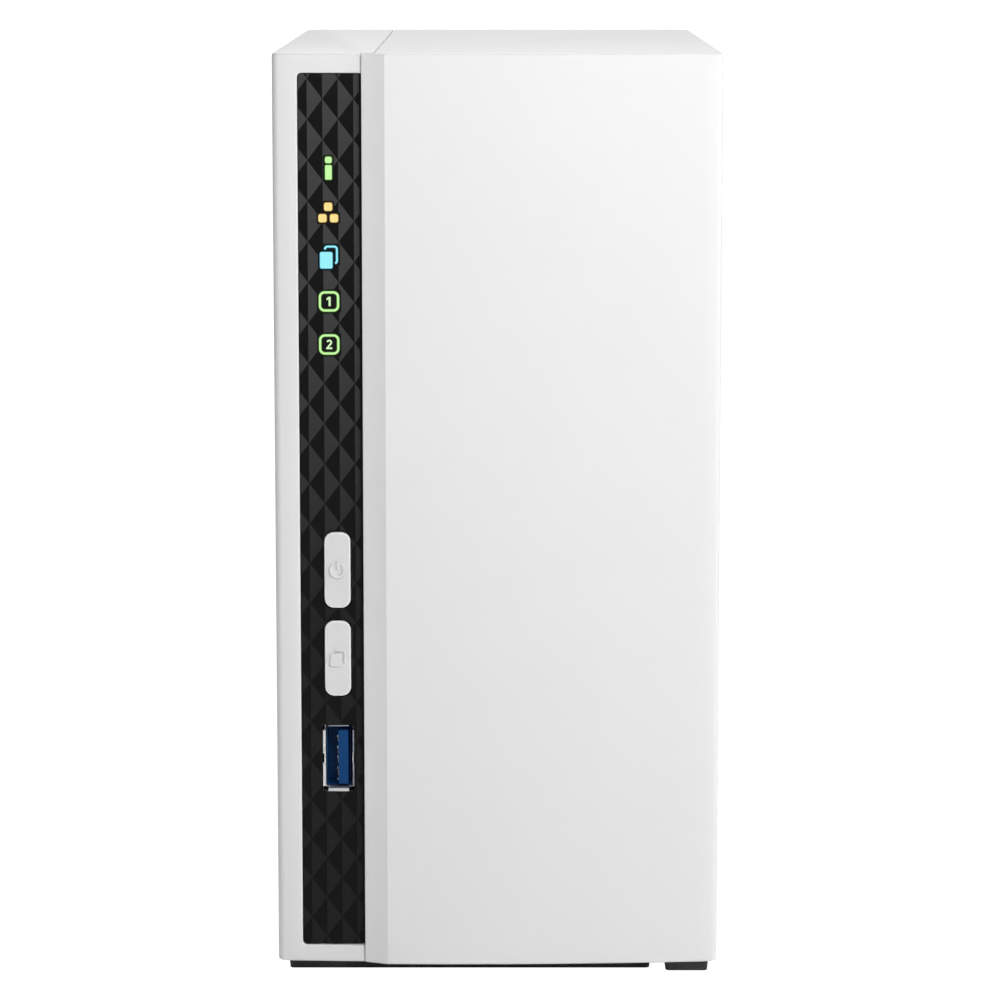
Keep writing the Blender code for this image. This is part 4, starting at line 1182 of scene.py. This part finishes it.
def make_reset():
    """The small switch behind the rear panel's hole, and its plunger."""
    low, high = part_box("reset_switch")
    middle = (low + high) / 2
    plunger_low, plunger_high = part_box("reset_plunger")
    x = (plunger_low.x + plunger_high.x) / 2
    body = cut(block_of("reset_switch"), rod((x, mm(67.4), middle.z), (x, mm(72), middle.z), mm(1.25), 24))
    piece(soften(body, mm(0.2), 2), "reset_switch_body", DARK, ["reset_switch"])
    length = plunger_high.y - plunger_low.y
    make_plunger("reset_plunger", (x, plunger_low.y, middle.z), (0, 1, 0), mm(0.9), length)


# ---------------------------------------------------------------- fasteners


def cross_tools(radius, top):
    """The cutters of a crossed recess in a head whose top is at that height."""
    span, width, depth = around(0, radius * 1.1), around(0, radius * 0.24), (top - mm(0.7), top + mm(1))
    return [block(span, width, depth), block(width, span, depth)]


def make_screw(node, body, seat, outward, head, shank, material):
    """A domed screw with a crossed recess; head and shank are (radius, length)."""
    radius, height = head
    profile = [
        (-shank[1], shank[0] * 0.55), (-shank[1] + mm(0.6), shank[0]), (0, shank[0]), (0, radius * 0.96),
        (height * 0.12, radius), (height * 0.5, radius * 0.97), (height * 0.8, radius * 0.8),
        (height * 0.95, radius * 0.55), (height, radius * 0.3),
    ]
    screw = turned((0, 0, 0), (0, 0, 1), profile, 28)
    cut(screw, *cross_tools(radius, height))
    place_along(screw, seat, outward)
    piece(screw, f"{node}_turned", material, [node], body=body)


def make_thumbscrew(number):
    """A knurled head with a waist and a slot."""
    node = f"cover_thumbscrew_{number}"
    rim = [mm(0.7, 2.9), mm(0.85, 3.2), mm(2.35, 3.2), mm(2.6, 2.9)]
    waist = [mm(-9, 1.2), mm(-8.6, 1.5), mm(0, 1.5), mm(0, 2.4), mm(0.75, 2.3)]
    head = turned((0, 0, 0), (0, 0, 1), rim, 48, teeth=0.045)
    fuse(head, turned((0, 0, 0), (0, 0, 1), waist, 24))
    cut(head, block(mm(-4, 4), mm(-0.35, 0.35), mm(1.7, 4)))
    place_along(head, (SCREW_X, PANEL_Y[1] + GAP, SCREW_Z[number - 1]), (0, 1, 0))
    piece(head, f"{node}_turned", SCREW_STEEL, [node])


def make_fasteners():
    """Each screw on the face that it holds, with its head outwards."""
    steel_head, black_head = mm(2.8, 1.3), mm(3.6, 1.8)
    for number, (y, z) in enumerate(MAINBOARD_SCREWS, 1):
        name, seat = f"mainboard_screw_{number}", (BOARD_FACE + GAP, y, z)
        make_screw(name, "chassis", seat, (1, 0, 0), steel_head, mm(1.3, 5.0), SCREW_STEEL)
    for number, (x, z) in enumerate(fan_screw_places(), 1):
        name, seat = f"fan_screw_{number}", (x, PANEL_Y[1] + GAP, z)
        make_screw(name, "chassis", seat, (0, 1, 0), black_head, mm(2.0, 10.0), BLACK_SCREW)
    for tray, x in enumerate(TRAY_X, 1):
        for number, z in enumerate(DRIVE_SCREW_Z, 1):
            name, seat = f"drive_{tray}_screw_{number}", (x + TRAY_WIDTH / 2, TRAY_Y[0] - GAP, z)
            make_screw(name, f"tray_{tray}", seat, (0, -1, 0), steel_head, mm(1.5, 6.0), SCREW_STEEL)
    for number in (1, 2):
        make_thumbscrew(number)


# ---------------------------------------------------------------- boards


ROOT = mm(0.05)  # how far a soldered part reaches into its board


def parts_on(plane, face, places, side=1):
    """Blocks standing on a board: each place is (u, v, width, height, rise) in the board's own axes."""
    made = []
    for u, v, width, height, rise in places:
        limits = [around(u, width), around(v, height)]
        across = sorted((face - side * ROOT, face + side * rise))
        limits.insert({"yz": 0, "xz": 1, "xy": 2}[plane], across)
        made.append(block(*limits))
    return group(*made)


def make_mainboard():
    """The upright board with its chips, coils, capacitors and headers."""
    outline = [
        mm(-61, 10), mm(71.9, 10), mm(71.9, 98), mm(-61, 98),
        mm(-61, 53.5), mm(-70.9, 53.5), mm(-70.9, 37), mm(-61, 37),
    ]
    holes = [circle((y, z), mm(1.8), 24) for y, z in MAINBOARD_SCREWS]
    piece(slab("yz", [outline, *holes], mm(-38.2), BOARD_FACE), "mainboard_sheet", PCB, ["mainboard"])
    copper = (BOARD_FACE, BOARD_FACE + mm(0.04))
    rings = [
        slab("yz", [circle(place, mm(3.4), 24), circle(place, mm(1.85), 24)], *copper)
        for place in MAINBOARD_SCREWS
    ]
    piece(group(*rings), "mainboard_rings", GOLD)
    chips = [
        mm(-25, 26.5, 14, 9, 1.1), mm(-5, 26.5, 14, 9, 1.1), mm(27, 35, 10, 10, 0.9),
        mm(-44, 26, 8, 5.5, 1.0), mm(-52, 41, 6, 6, 0.9), mm(52, 84, 7, 7, 0.9), mm(29, 50, 8, 5, 1.0),
        mm(14, 88, 6, 4, 0.9), mm(-20, 84, 9, 9, 0.9),
    ]
    piece(soften(parts_on("yz", BOARD_FACE, chips), mm(0.15), 2), "mainboard_chips", CHIP)
    piece(group(*chip_legs(chips)), "mainboard_chip_legs", SOCKET_STEEL)
    small = scattered_parts(chips, 90)
    piece(parts_on("yz", BOARD_FACE, small[:45]), "mainboard_resistors", CHIP)
    piece(parts_on("yz", BOARD_FACE, small[45:]), "mainboard_capacitors", CERAMIC)
    coils = parts_on("yz", BOARD_FACE, [mm(38, 84, 6, 6, 3), mm(-46, 62, 5, 5, 2.6), mm(-38, 62, 5, 5, 2.6)])
    piece(soften(coils, mm(0.5), 3), "mainboard_coils", TRAY_PLASTIC)
    for name, material, profile in (
        ("cans", FIN_ALUMINIUM, [mm(0, 2.9), mm(6.3, 2.9), mm(6.8, 2.4), mm(6.9, 0.5)]),
        ("can_bases", CHIP, [mm(0, 3.2), mm(0.8, 3.2), mm(0.9, 3.0)]),
    ):
        made = [turned((BOARD_FACE, mm(43), z), (1, 0, 0), profile, 28) for z in mm(63, 72)]
        piece(group(*made), f"mainboard_{name}", material)
    for name, y, z, reach, material in (
        ("fan_header", mm(27, 35), mm(84, 89.7), mm(-31.0), HEADER_WHITE),
        ("backplane_header", mm(-18, 18), mm(10.2, 14), mm(-31.0), DARK),
        ("ribbon_header", mm(-55, -51), mm(59, 71), mm(-34.6), HEADER_WHITE),
    ):
        header = block((BOARD_FACE - ROOT, reach), y, z)
        if name == "fan_header":
            well_y, well_z = (y[0] + mm(0.8), y[1] - mm(0.8)), (z[0] + mm(0.7), z[1] - mm(0.7))
            cut(header, block((BOARD_FACE + mm(1), reach + mm(1)), well_y, well_z))
        piece(soften(header, mm(0.2), 2), name, material)
    pins = [rod((BOARD_FACE, y, mm(86.8)), (mm(-32), y, mm(86.8)), mm(0.3), 12) for y in mm(28.8, 31, 33.2)]
    piece(group(*pins), "fan_header_pins", GOLD)


def chip_legs(chips):
    """A row of legs along both upright sides of each chip."""
    legs = []
    for y, z, width, height, _ in chips:
        count = int(height / mm(1.1))
        for side in (-1, 1):
            leg_y = around(y + side * (width / 2 + mm(0.4)), mm(0.8))
            legs += [
                block(
                    (BOARD_FACE - mm(0.02), BOARD_FACE + mm(0.3)), leg_y,
                    around(z + (i - (count - 1) / 2) * mm(1.0), mm(0.4)),
                )
                for i in range(count)
            ]
    return legs


def scattered_parts(chips, count):
    """Places for small parts on the main board, clear of everything that stands on it."""
    dice = random.Random(7)
    small = []
    while len(small) < count:
        y, z = dice.uniform(mm(-57), mm(66)), dice.uniform(mm(14), mm(95))
        by_chip = any(
            abs(y - chip_y) <= width / 2 + mm(2) and abs(z - chip_z) <= height / 2 + mm(2)
            for chip_y, chip_z, width, height, _ in chips
        )
        on_sink = mm(-29) < y < mm(15) and mm(35) < z < mm(79)
        near_jacks = y > mm(50) and not mm(70) < z < mm(76)
        near_cell = math.hypot(y - mm(-40), z - mm(82)) < mm(12)
        near_screw = any(math.hypot(y - a, z - b) < mm(5) for a, b in MAINBOARD_SCREWS)
        if not (by_chip or on_sink or near_jacks or near_cell or near_screw):
            small.append((y, z, *(mm(1.2, 0.7, 0.5) if dice.random() < 0.5 else mm(0.8, 1.6, 0.6))))
    return small


def make_heatsink():
    """A finned block over the processor, with two gaps cut across its fins, and the processor's package."""
    base = block(mm(-34.9, -33.2), mm(-26, 12), mm(38, 76))
    fins = [block(mm(-33.3, -28.2), around(mm(-25.3 + 3.05 * i), mm(1.1)), mm(38, 76)) for i in range(13)]
    gaps = [block(mm(-33.0, -20), mm(-40, 20), around(mm(z), mm(2.2))) for z in (50.5, 63.5)]
    sink = fuse(base, *fins)
    cut(sink, *gaps)
    piece(soften(sink, mm(0.15), 2), "heatsink_fins", FIN_ALUMINIUM, ["heatsink"])
    chip = block(mm(-36.3, -35.2), mm(-15.5, 1.5), mm(48.5, 65.5))
    piece(soften(chip, mm(0.15), 2), "processor_package", CHIP, ["processor"])


def make_coin_cell():
    """The clock's cell in a clip."""
    for name, material, replaces, profile in (
        ("holder", DARK, [], ((0, 10), (1.2, 10), (1.3, 9.9), (1.3, 9.5), (0.3, 9.5))),
        ("can", LID_STEEL, ["coin_cell"], ((0.35, 9.2), (2.9, 9.3), (3.1, 9.1), (3.15, 8.6), (3.1, 0.5))),
    ):
        made = turned(mm(-36.3, -40, 82), (1, 0, 0), [mm(*point) for point in profile], 48)
        piece(made, f"coin_cell_{name}", material, replaces)
    clip = block(mm(-33.2, -32.9), mm(-50.2, -38), mm(80.2, 83.8))
    fuse(clip, block(mm(-36.3, -32.9), mm(-50.8, -50.2), mm(80.2, 83.8)))
    piece(soften(clip, mm(0.12), 2), "coin_cell_clip", SOCKET_STEEL)


def make_front_board():
    """The narrow board behind the strip, with a lamp for each icon."""
    front, back = mm(-63.7, -62.1)
    sheet = slab("xz", [rounded_rectangle(mm(-41.5, -27.5), mm(57, 172), mm(0.8), 4)], front, back)
    piece(sheet, "front_board_sheet", PCB, ["front_board"])
    lamps = parts_on("xz", front, [(ICON_X, z, *mm(1.6, 3.2, 1.3)) for z in ICON_Z], -1)
    piece(soften(lamps, mm(0.2), 2), "front_board_lamps", LAMP)
    parts = parts_on("xz", back, [
        mm(-35, 118, 5, 5, 0.9), mm(-31, 126, 1.2, 2, 0.5), mm(-37, 132, 1.2, 2, 0.5),
        mm(-33, 145, 1.2, 2, 0.5), mm(-38, 150, 2, 1.2, 0.5), mm(-34, 158, 3, 3, 0.8),
        mm(-36, 104, 1.2, 2, 0.5), mm(-31, 98, 2, 1.2, 0.5),
    ])
    piece(soften(parts, mm(0.12), 2), "front_board_parts", CHIP)


def make_backplane():
    """The board under the drives, and the slotted socket that each drive drops onto."""
    bottom, top = mm(8.0, 9.6)
    board = slab("xy", [rounded_rectangle(mm(-30.7, 32), mm(-28, 24), mm(1.0), 4)], bottom, top)
    piece(board, "backplane_sheet", PCB, ["backplane"])
    parts = parts_on("xy", top, [
        mm(-10, 18, 3, 3, 0.9), mm(-6, -20, 2, 4, 1.2), mm(22, 15, 2, 4, 1.2), mm(12, -22, 4, 3, 1.0),
        mm(-14, -4, 1, 2, 0.5), mm(-12, 4, 1, 2, 0.5), mm(16, 2, 1, 2, 0.5), mm(24, -8, 3, 3, 0.9),
        mm(28, 4, 1, 2, 0.5),
    ])
    piece(soften(parts, mm(0.12), 2), "backplane_parts", CHIP)
    for number, tray_x in enumerate(TRAY_X, 1):
        name, x = f"drive_socket_{number}", tray_x + mm(2.05)
        socket = block(around(x, mm(4.6)), mm(-22, 18), mm(9.9, 17.3))
        cut(socket, block(around(x, mm(1.9)), mm(-19, 15), mm(12.4, 20)))
        piece(soften(socket, mm(0.25), 3), f"{name}_body", DARK, [name])
        contacts = [
            block(around(x + side * mm(0.9), mm(0.06)), around(mm(-17.5 + 1.6 * i), mm(0.6)), mm(12.6, 16.6))
            for i in range(21) for side in (-1, 1)
        ]
        piece(group(*contacts), f"{name}_contacts", GOLD)


# ---------------------------------------------------------------- drives


def make_drive_cage():
    """Three sheet walls with wide windows, and a raised floor."""
    y = mm(-60, 44)
    walls_x = mm(-27.2, 3.4, 34.0)
    sheet = mm(1.0)
    cage = block((walls_x[0], walls_x[2] + sheet), y, mm(13.6, 14.6))
    fuse(cage, *[
        slab("yz", [rounded_rectangle(y, (foot, mm(150)), mm(2.0), 5)], x, x + sheet)
        for x, foot in zip(walls_x, mm(5.7, 14, 7.5))
    ])
    openings = [block((x - mm(0.48), x + mm(6)), mm(-24, 20), mm(12, 16)) for x in TRAY_X]
    board_way = block(mm(-30, -24), mm(-30, 26), mm(7, 12.8))
    windows = [
        slab("yz", [rounded_rectangle(mm(-44, 28), (z, z + mm(30)), mm(4), 8)], mm(-30), mm(38))
        for z in mm(32, 74, 112)
    ]
    holes = [
        slab("yz", [circle((y, z), mm(1.8), 20)], mm(-30), mm(38))
        for y in mm(-52, 36) for z in mm(24, 47, 68, 89, 108, 127, 144)
    ]
    cut(cage, *openings, board_way, *windows, group(*holes))
    piece(soften(cage, mm(0.15), 2), "cage_sheet", STEEL, ["drive_cage"])


def make_tray(number, x0):
    """A plastic frame round the drive's edges, with a ribbed tab to pull it up by."""
    x = (x0, x0 + TRAY_WIDTH)
    middle = sum(x) / 2
    wide = (x[0] - mm(1), x[1] + mm(1))
    drive_y = (DRIVE_Y - GAP, DRIVE_Y + DRIVE_SIZE[1] + GAP)
    drive_z = (DRIVE_Z - mm(0.5), DRIVE_Z + DRIVE_SIZE[2] + mm(0.5))
    tray = slab("yz", [rounded_rectangle(TRAY_Y, mm(15.2, 167.8), mm(1.5), 5)], *x)
    fuse(tray, slab("yz", [rounded_rectangle(mm(-28, 8), mm(160, 176), mm(3.0), 8)], *around(middle, mm(12))))

    def windows(heights, y):
        shape = [rounded_rectangle(around(middle, mm(15)), around(z, mm(13)), mm(2), 5) for z in heights]
        return [slab("xz", [window], *y) for window in shape]

    cut(
        tray,
        block(wide, drive_y, drive_z),
        block((x[0] - mm(1), x[0] + mm(6)), mm(-25, 21), mm(12, 19)),
        slab("yz", [rounded_rectangle(mm(-23, 3), mm(169.3, 173.2), mm(1.9), 8)], *wide),
        *windows(mm(68, 91, 114), mm(-70, -61)),
        *windows(mm(45, 68, 91, 114, 137), mm(35, 45)),
        *[rod((middle, mm(-70), z), (middle, mm(-58), z), mm(1.9), 20) for z in DRIVE_SCREW_Z],
    )
    name = f"tray_{number}"
    ribs = [block(x, around(y, mm(1.0)), mm(167.7, 168.4)) for y in mm(-56, -48, -40, 18, 26, 34)]
    piece(group(soften(tray, mm(0.35), 3), *ribs), f"{name}_frame", TRAY_PLASTIC, [name], body=name)


# The printed bars of a drive's label, in mm: limits along it, and up from its middle
LABEL_BARS = (
    ((-40, 17), (14, 24.5)), ((-40, -12), (6.8, 8)), ((-40, -4), (2.5, 3.5)), ((-40, -18), (-1, 0)),
    ((-40, 6), (-5.8, -5)), ((-40, -10), (-9.8, -9)), ((2, 16), (-24, -12)), ((-40, -16), (-24, -14)),
)


def make_drive(number, tray_x):
    """The drive's lid with its raised round, screws and label; the casting and board keep their shapes."""
    body, name = f"tray_{number}", f"drive_{number}"
    outer = tray_x + (TRAY_WIDTH + DRIVE_SIZE[0]) / 2
    inner = outer - DRIVE_SIZE[0]
    y = (DRIVE_Y + mm(0.6), DRIVE_Y + DRIVE_SIZE[1] - mm(0.6))
    bottom, top = DRIVE_Z, DRIVE_Z + DRIVE_SIZE[2]
    middle = top - mm(52)
    rim = rounded_rectangle(y, (bottom + mm(0.6), top - mm(0.6)), mm(3))
    neck = rounded_rectangle(mm(-40, 18), (bottom + mm(8), top - mm(80)), mm(8), 8)
    lid = fuse(
        slab("yz", [rim], outer - mm(0.8), outer - mm(0.3)),
        slab("yz", [circle((mm(-11.2), middle), mm(47), 96)], outer - mm(0.4), outer),
        slab("yz", [neck], outer - mm(0.4), outer - mm(0.1)),
    )
    piece(soften(lid, mm(0.12), 3), f"{name}_cover", LID_STEEL, [f"{name}_lid"], body=body)
    label = rounded_rectangle(mm(-43, 20), around(middle, mm(56)), mm(1.5), 4)
    piece(slab("yz", [label], outer, outer + mm(0.06)), f"{name}_label", LABEL, body=body)
    marks = [
        block((outer + mm(0.05), outer + mm(0.1)), mm(*along), tuple(middle + mm(v) for v in up))
        for along, up in LABEL_BARS
    ]
    piece(group(*marks), f"{name}_label_marks", LABEL_INK, body=body)
    heads = [
        turned(
            (outer - mm(0.35), mm(v), bottom + mm(w)), (1, 0, 0),
            [mm(0, 1.9), mm(0.15, 1.8), mm(0.25, 0.8), mm(0.1, 0.6)], 20,
        )
        for v, w in ((-57.5, 6), (35, 6), (-57.5, 75), (35, 75), (-57.5, 141), (35, 141), (-11, 6))
    ]
    piece(group(*heads), f"{name}_lid_screws", BLACK_SCREW, body=body)
    chips = [
        (mm(v), bottom + mm(w), *mm(width, height, 0.6)) for v, w, width, height in
        ((-30, 40, 12, 12), (-4, 44, 9, 11), (-40, 66, 6, 6), (12, 70, 8, 5), (22, 30, 5, 5))
    ]
    board_chips = soften(parts_on("yz", inner, chips, -1), mm(0.12), 2)
    piece(board_chips, f"{name}_board_chips", CHIP, body=body)


# ---------------------------------------------------------------- fan


def make_fan_frame():
    """Two square flanges on a round duct, with struts, a hub base and its bearing tube."""
    front, back = FAN_Y
    square = rounded_rectangle(mm(-40, 40), (FAN_Z - mm(40), FAN_Z + mm(40)), mm(4), 8)
    centre = (0, FAN_Z)
    bore = circle(centre, mm(38), 96)
    holes = [circle(place, mm(2.3), 24) for place in fan_screw_places()]
    between = (front + mm(1), back - mm(1))
    strut = (back - mm(2.6), back - mm(0.3))
    frame = slab("xz", [square, bore, *holes], front, front + mm(4))
    fuse(
        frame,
        slab("xz", [circle(centre, mm(39.5), 96), bore], *between),
        slab("xz", [square, bore, *holes], back - mm(4), back),
        *[slab("xz", [circle(place, mm(3.9), 24), circle(place, mm(2.3), 24)], *between)
          for place in fan_screw_places()],
        block(mm(-39, 39), strut, around(FAN_Z, mm(3))),
        block(around(0, mm(3)), strut, (FAN_Z - mm(39), FAN_Z + mm(39))),
        rod((0, back - mm(2.9), FAN_Z), (0, back - mm(0.2), FAN_Z), mm(17), 64),
        rod((0, front + mm(7), FAN_Z), (0, back - mm(1), FAN_Z), mm(4), 32),
    )
    cut(frame, rod((0, 0, FAN_Z), (0, back - mm(1.5), FAN_Z), mm(2.0), 24))
    piece(soften(frame, mm(0.4), 3), "fan_frame_moulding", FAN_PLASTIC, ["fan_frame"])
    label = turned((0, back - mm(0.2), FAN_Z), (0, 1, 0), [mm(-0.05, 14.5), mm(0.08, 14.5)], 64)
    piece(label, "fan_label", LABEL)
    band = [circle(centre, mm(12.5), 64), circle(centre, mm(11.4), 64)]
    piece(slab("xz", band, back - mm(0.13), back - mm(0.06)), "fan_label_ring", LABEL_INK)


def fan_blade(number, front, back):
    """A cambered, swept blade from the hub to just short of the bore."""
    inner, tip = mm(16.4), mm(36.3)
    chord, rise = mm(6.4), mm(4.9)
    rows, columns = 7, 12
    shape = bmesh.new()
    sides = []
    for side in (-1, 1):
        grid = []
        for i in range(rows):
            share = i / (rows - 1)
            radius = inner + (tip - inner) * share
            turn = 2 * math.pi * number / 7 + math.radians(12) * share
            line = []
            for j in range(columns):
                v = -1 + 2 * j / (columns - 1)
                angle = turn + v * chord * (0.72 + 0.5 * share) / radius
                along = v * rise + mm(0.9) * (1 - v * v) + side * mm(0.75) * (1 - 0.75 * v * v)
                line.append(shape.verts.new((
                    radius * math.sin(angle), (front + back) / 2 + along, FAN_Z + radius * math.cos(angle),
                )))
            grid.append(line)
        sides.append(grid)
    lower, upper = sides
    for i in range(rows - 1):
        for j in range(columns - 1):
            shape.faces.new((lower[i][j], lower[i][j + 1], lower[i + 1][j + 1], lower[i + 1][j]))
            shape.faces.new((upper[i][j], upper[i + 1][j], upper[i + 1][j + 1], upper[i][j + 1]))
    edge = [(0, j) for j in range(columns)] + [(i, columns - 1) for i in range(1, rows)]
    edge += [(rows - 1, j) for j in range(columns - 2, -1, -1)] + [(i, 0) for i in range(rows - 2, 0, -1)]
    for (i, j), (k, m) in zip(edge, edge[1:] + edge[:1]):
        shape.faces.new((lower[i][j], upper[i][j], upper[k][m], lower[k][m]))
    bmesh.ops.recalc_face_normals(shape, faces=shape.faces)
    return from_bmesh("blade", shape)


def make_fan_rotor():
    """Hub cup, shaft and seven blades."""
    front, back = FAN_Y[0] + mm(3), FAN_Y[0] + mm(21.4)
    depth = back - front
    cup = [
        (0, mm(14.8)), (mm(0.4), mm(16.0)), (mm(1.4), mm(17)), (depth - mm(0.2), mm(17)), (depth, mm(16.8)),
        (depth, mm(15.2)), (mm(2), mm(15)),
    ]
    hub = turned((0, front, FAN_Z), (0, 1, 0), cup, 72)
    shaft = rod((0, front + mm(1), FAN_Z), (0, back - mm(1.5), FAN_Z), mm(1.5), 24)
    blades = [fan_blade(number, front, back) for number in range(7)]
    piece(group(hub, shaft, *blades), "fan_hub_and_blades", FAN_PLASTIC, ["fan_rotor"], body="fan_rotor")


def smooth_route(points):
    """Points on a smooth curve through the given ones."""
    per_span = 6
    points = [Vector(p) for p in points]
    ends = [points[0] * 2 - points[1], *points, points[-1] * 2 - points[-2]]
    route = []
    for before, start, end, after in zip(ends, ends[1:], ends[2:], ends[3:]):
        for step in range(per_span):
            t = step / per_span
            route.append(0.5 * (
                2 * start + (end - before) * t + (2 * before - 5 * start + 4 * end - after) * t**2
                + (3 * start - before - 3 * end + after) * t**3
            ))
    route.append(points[-1])
    return route


def make_fan_lead():
    """Three twisted wires from the fan to its plug on the main board, held at both ends."""
    centre = smooth_route([
        mm(-33.8, 56, 102.6), mm(-33.8, 55.2, 100.8), mm(-33.4, 52, 98), mm(-32.4, 46, 97.2),
        mm(-32.4, 38, 97.6), mm(-33.4, 32.6, 95.6), mm(-33.8, 31, 92.6), mm(-33.8, 31, 90.4),
    ])
    for number, material in enumerate(WIRES):
        path = []
        for i, point in enumerate(centre):
            ahead = (centre[min(i + 1, len(centre) - 1)] - centre[max(i - 1, 0)]).normalized()
            side = ahead.cross(Vector((1, 0, 0))).normalized()
            up = ahead.cross(side)
            angle = math.radians(14) * i + number * 2 * math.pi / 3
            path.append(point + (side * math.cos(angle) + up * math.sin(angle)) * mm(0.6))
        curve = bpy.data.curves.new("wire", "CURVE")
        curve.dimensions = "3D"
        curve.bevel_depth = mm(0.5)
        curve.bevel_resolution = 3
        curve.use_fill_caps = True
        add_spline(curve, path)
        piece(curve_mesh(curve), f"fan_wire_{number + 1}", material, ["fan_lead"] if number == 0 else [])
    plug = block(mm(-35.2, -32.2), mm(28, 34), mm(84.9, 91.2))
    piece(soften(plug, mm(0.2), 2), "fan_plug", HEADER_WHITE)


def repaint_kept_nodes():
    """Better materials, and softened edges, for the CAD nodes whose shape is right."""
    looks = {"front_ribbon": RIBBON}
    for number in (1, 2):
        looks[f"drive_{number}_casting"] = CASTING
        looks[f"drive_{number}_board"] = PCB
    for node, material in looks.items():
        obj = frame["nodes"][node]
        for slot in obj.material_slots:
            slot.material = material
        soften(obj, mm(0.12) if node == "front_ribbon" else mm(0.25), 2)


# ---------------------------------------------------------------- feet


def make_foot(node, body):
    """A moulded foot that narrows a little towards the table."""
    low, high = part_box(node)
    base = rounded_rectangle((low.x, high.x), (low.y, high.y), mm(0.6), 5)
    middle_x, middle_y = (low.x + high.x) / 2, (low.y + high.y) / 2

    def outline(inset):
        return [
            (x - math.copysign(inset, x - middle_x), y - math.copysign(inset, y - middle_y)) for x, y in base
        ]

    sides = [(low.z, outline(mm(0.35))), (low.z + mm(0.15), outline(mm(0.2))), (high.z, outline(0.0))]
    piece(stack(sides), f"{node}_pad", RUBBER, [node], body=body)


# ---------------------------------------------------------------- stage, lights and camera


WORLD_LIGHT = 0.3  # light from the surround
BACKDROP = 1.15  # how bright the surround and the floor look
FLOOR_MIX = 0.9  # share of the backdrop in the floor's look
LIGHTS = {  # place, size and power
    "key": ((0.7, -0.9, 0.6), 0.4, 3.35),
    "front": ((0.05, -0.4, 0.33), 0.15, 0.51),
    "right": ((0.9, -0.3, 0.3), 0.4, 2.2),
    "back": ((0, 0.8, 0.9), 0.5, 4.9),
}
LIGHT_TARGET = Vector((0, 0, 0.1))
CAMERA_PLACE = (0.0005, -0.8867, 0.218)
CAMERA_TILT = 8.37  # degrees down
LENS = 145.84


def seen_by_camera(tree):
    """An output that is 1 only where the picture looks straight at the surface."""
    return tree.nodes.new("ShaderNodeLightPath").outputs["Is Camera Ray"]


def make_stage():
    """A pale floor and an even white surround, a little brighter to look at than the light they give."""
    shape = bmesh.new()
    bmesh.ops.create_grid(shape, x_segments=1, y_segments=1, size=4.0)
    floor = from_bmesh("floor", shape)
    paper = make_material("pale_floor", (0.9, 0.9, 0.9), 1.0, Specular_IOR_Level=0.0)
    tree = paper.node_tree
    glow = add_node(tree, "Emission", {"Strength": BACKDROP})
    share = add_node(tree, "Math", {0: seen_by_camera(tree), 1: FLOOR_MIX}, operation="MULTIPLY")
    matt = tree.nodes["Principled BSDF"].outputs["BSDF"]
    mix = add_node(tree, "MixShader", {0: share.outputs["Value"], 1: matt, 2: glow.outputs["Emission"]})
    fill(tree, tree.nodes["Material Output"], {"Surface": mix.outputs["Shader"]})
    floor.data.materials.append(paper)

    world = bpy.data.worlds.new("studio")
    bpy.context.scene.world = world
    world.use_nodes = True
    tree = world.node_tree
    levels = {"To Min": WORLD_LIGHT, "To Max": BACKDROP, "Value": seen_by_camera(tree)}
    strength = add_node(tree, "MapRange", levels).outputs["Result"]
    fill(tree, tree.nodes["Background"], {"Color": (1, 1, 1), "Strength": strength})


def make_lighting():
    """Round soft lights that point at the unit and don't show in the picture."""
    for name, (place, size, power) in LIGHTS.items():
        light = bpy.data.lights.new(f"light_{name}", "AREA")
        light.shape = "DISK"
        light.size = size
        light.energy = power
        lamp = bpy.data.objects.new(f"light_{name}", light)
        lamp.location = place
        lamp.rotation_euler = (LIGHT_TARGET - Vector(place)).to_track_quat("-Z", "Y").to_euler()
        lamp.visible_camera = False
        bpy.context.scene.collection.objects.link(lamp)


def make_camera():
    """The camera, a little above the middle of the front and tilted down."""
    data = bpy.data.cameras.new("camera")
    data.lens = LENS
    data.sensor_width = 36.0
    data.clip_start = 0.05
    data.clip_end = 20.0
    camera = bpy.data.objects.new("camera", data)
    camera.location = CAMERA_PLACE
    camera.rotation_euler = (math.radians(90 - CAMERA_TILT), 0, 0)
    bpy.context.scene.collection.objects.link(camera)
    bpy.context.scene.camera = camera
    bpy.context.scene.view_settings.view_transform = "Standard"


make_camera()
make_stage()
make_lighting()
make_cover()
make_housing()
make_rear_panel()
make_fascia()
make_lights()
for name, centre, symbol in (("power", POWER_Z, power_symbol), ("copy", COPY_Z, copy_symbol)):
    make_button(f"{name}_button", centre, symbol)
for name, centre in (("power", POWER_Z), ("copy", COPY_Z)):
    make_switch(name, centre)
make_usb("front_usb", FRONT_USB_Z, mm(-75.0), 1, USB_BLUE)
for number, centre in enumerate(REAR_USB_Z, 1):
    make_usb(f"rear_usb_{number}", centre, PANEL_Y[1], -1, DARK)
make_network_jack()
make_power_jack()
make_reset()
make_mainboard()
make_heatsink()
make_coin_cell()
make_front_board()
make_backplane()
make_drive_cage()
for number, tray_x in enumerate(TRAY_X, 1):
    make_tray(number, tray_x)
    make_drive(number, tray_x)
make_fan_frame()
make_fan_rotor()
make_fan_lead()
make_fasteners()
repaint_kept_nodes()
for prefix, body in (("", "chassis"), ("cover_", "cover")):
    for end in ("front", "rear"):
        make_foot(f"{prefix}{end}_foot", body)
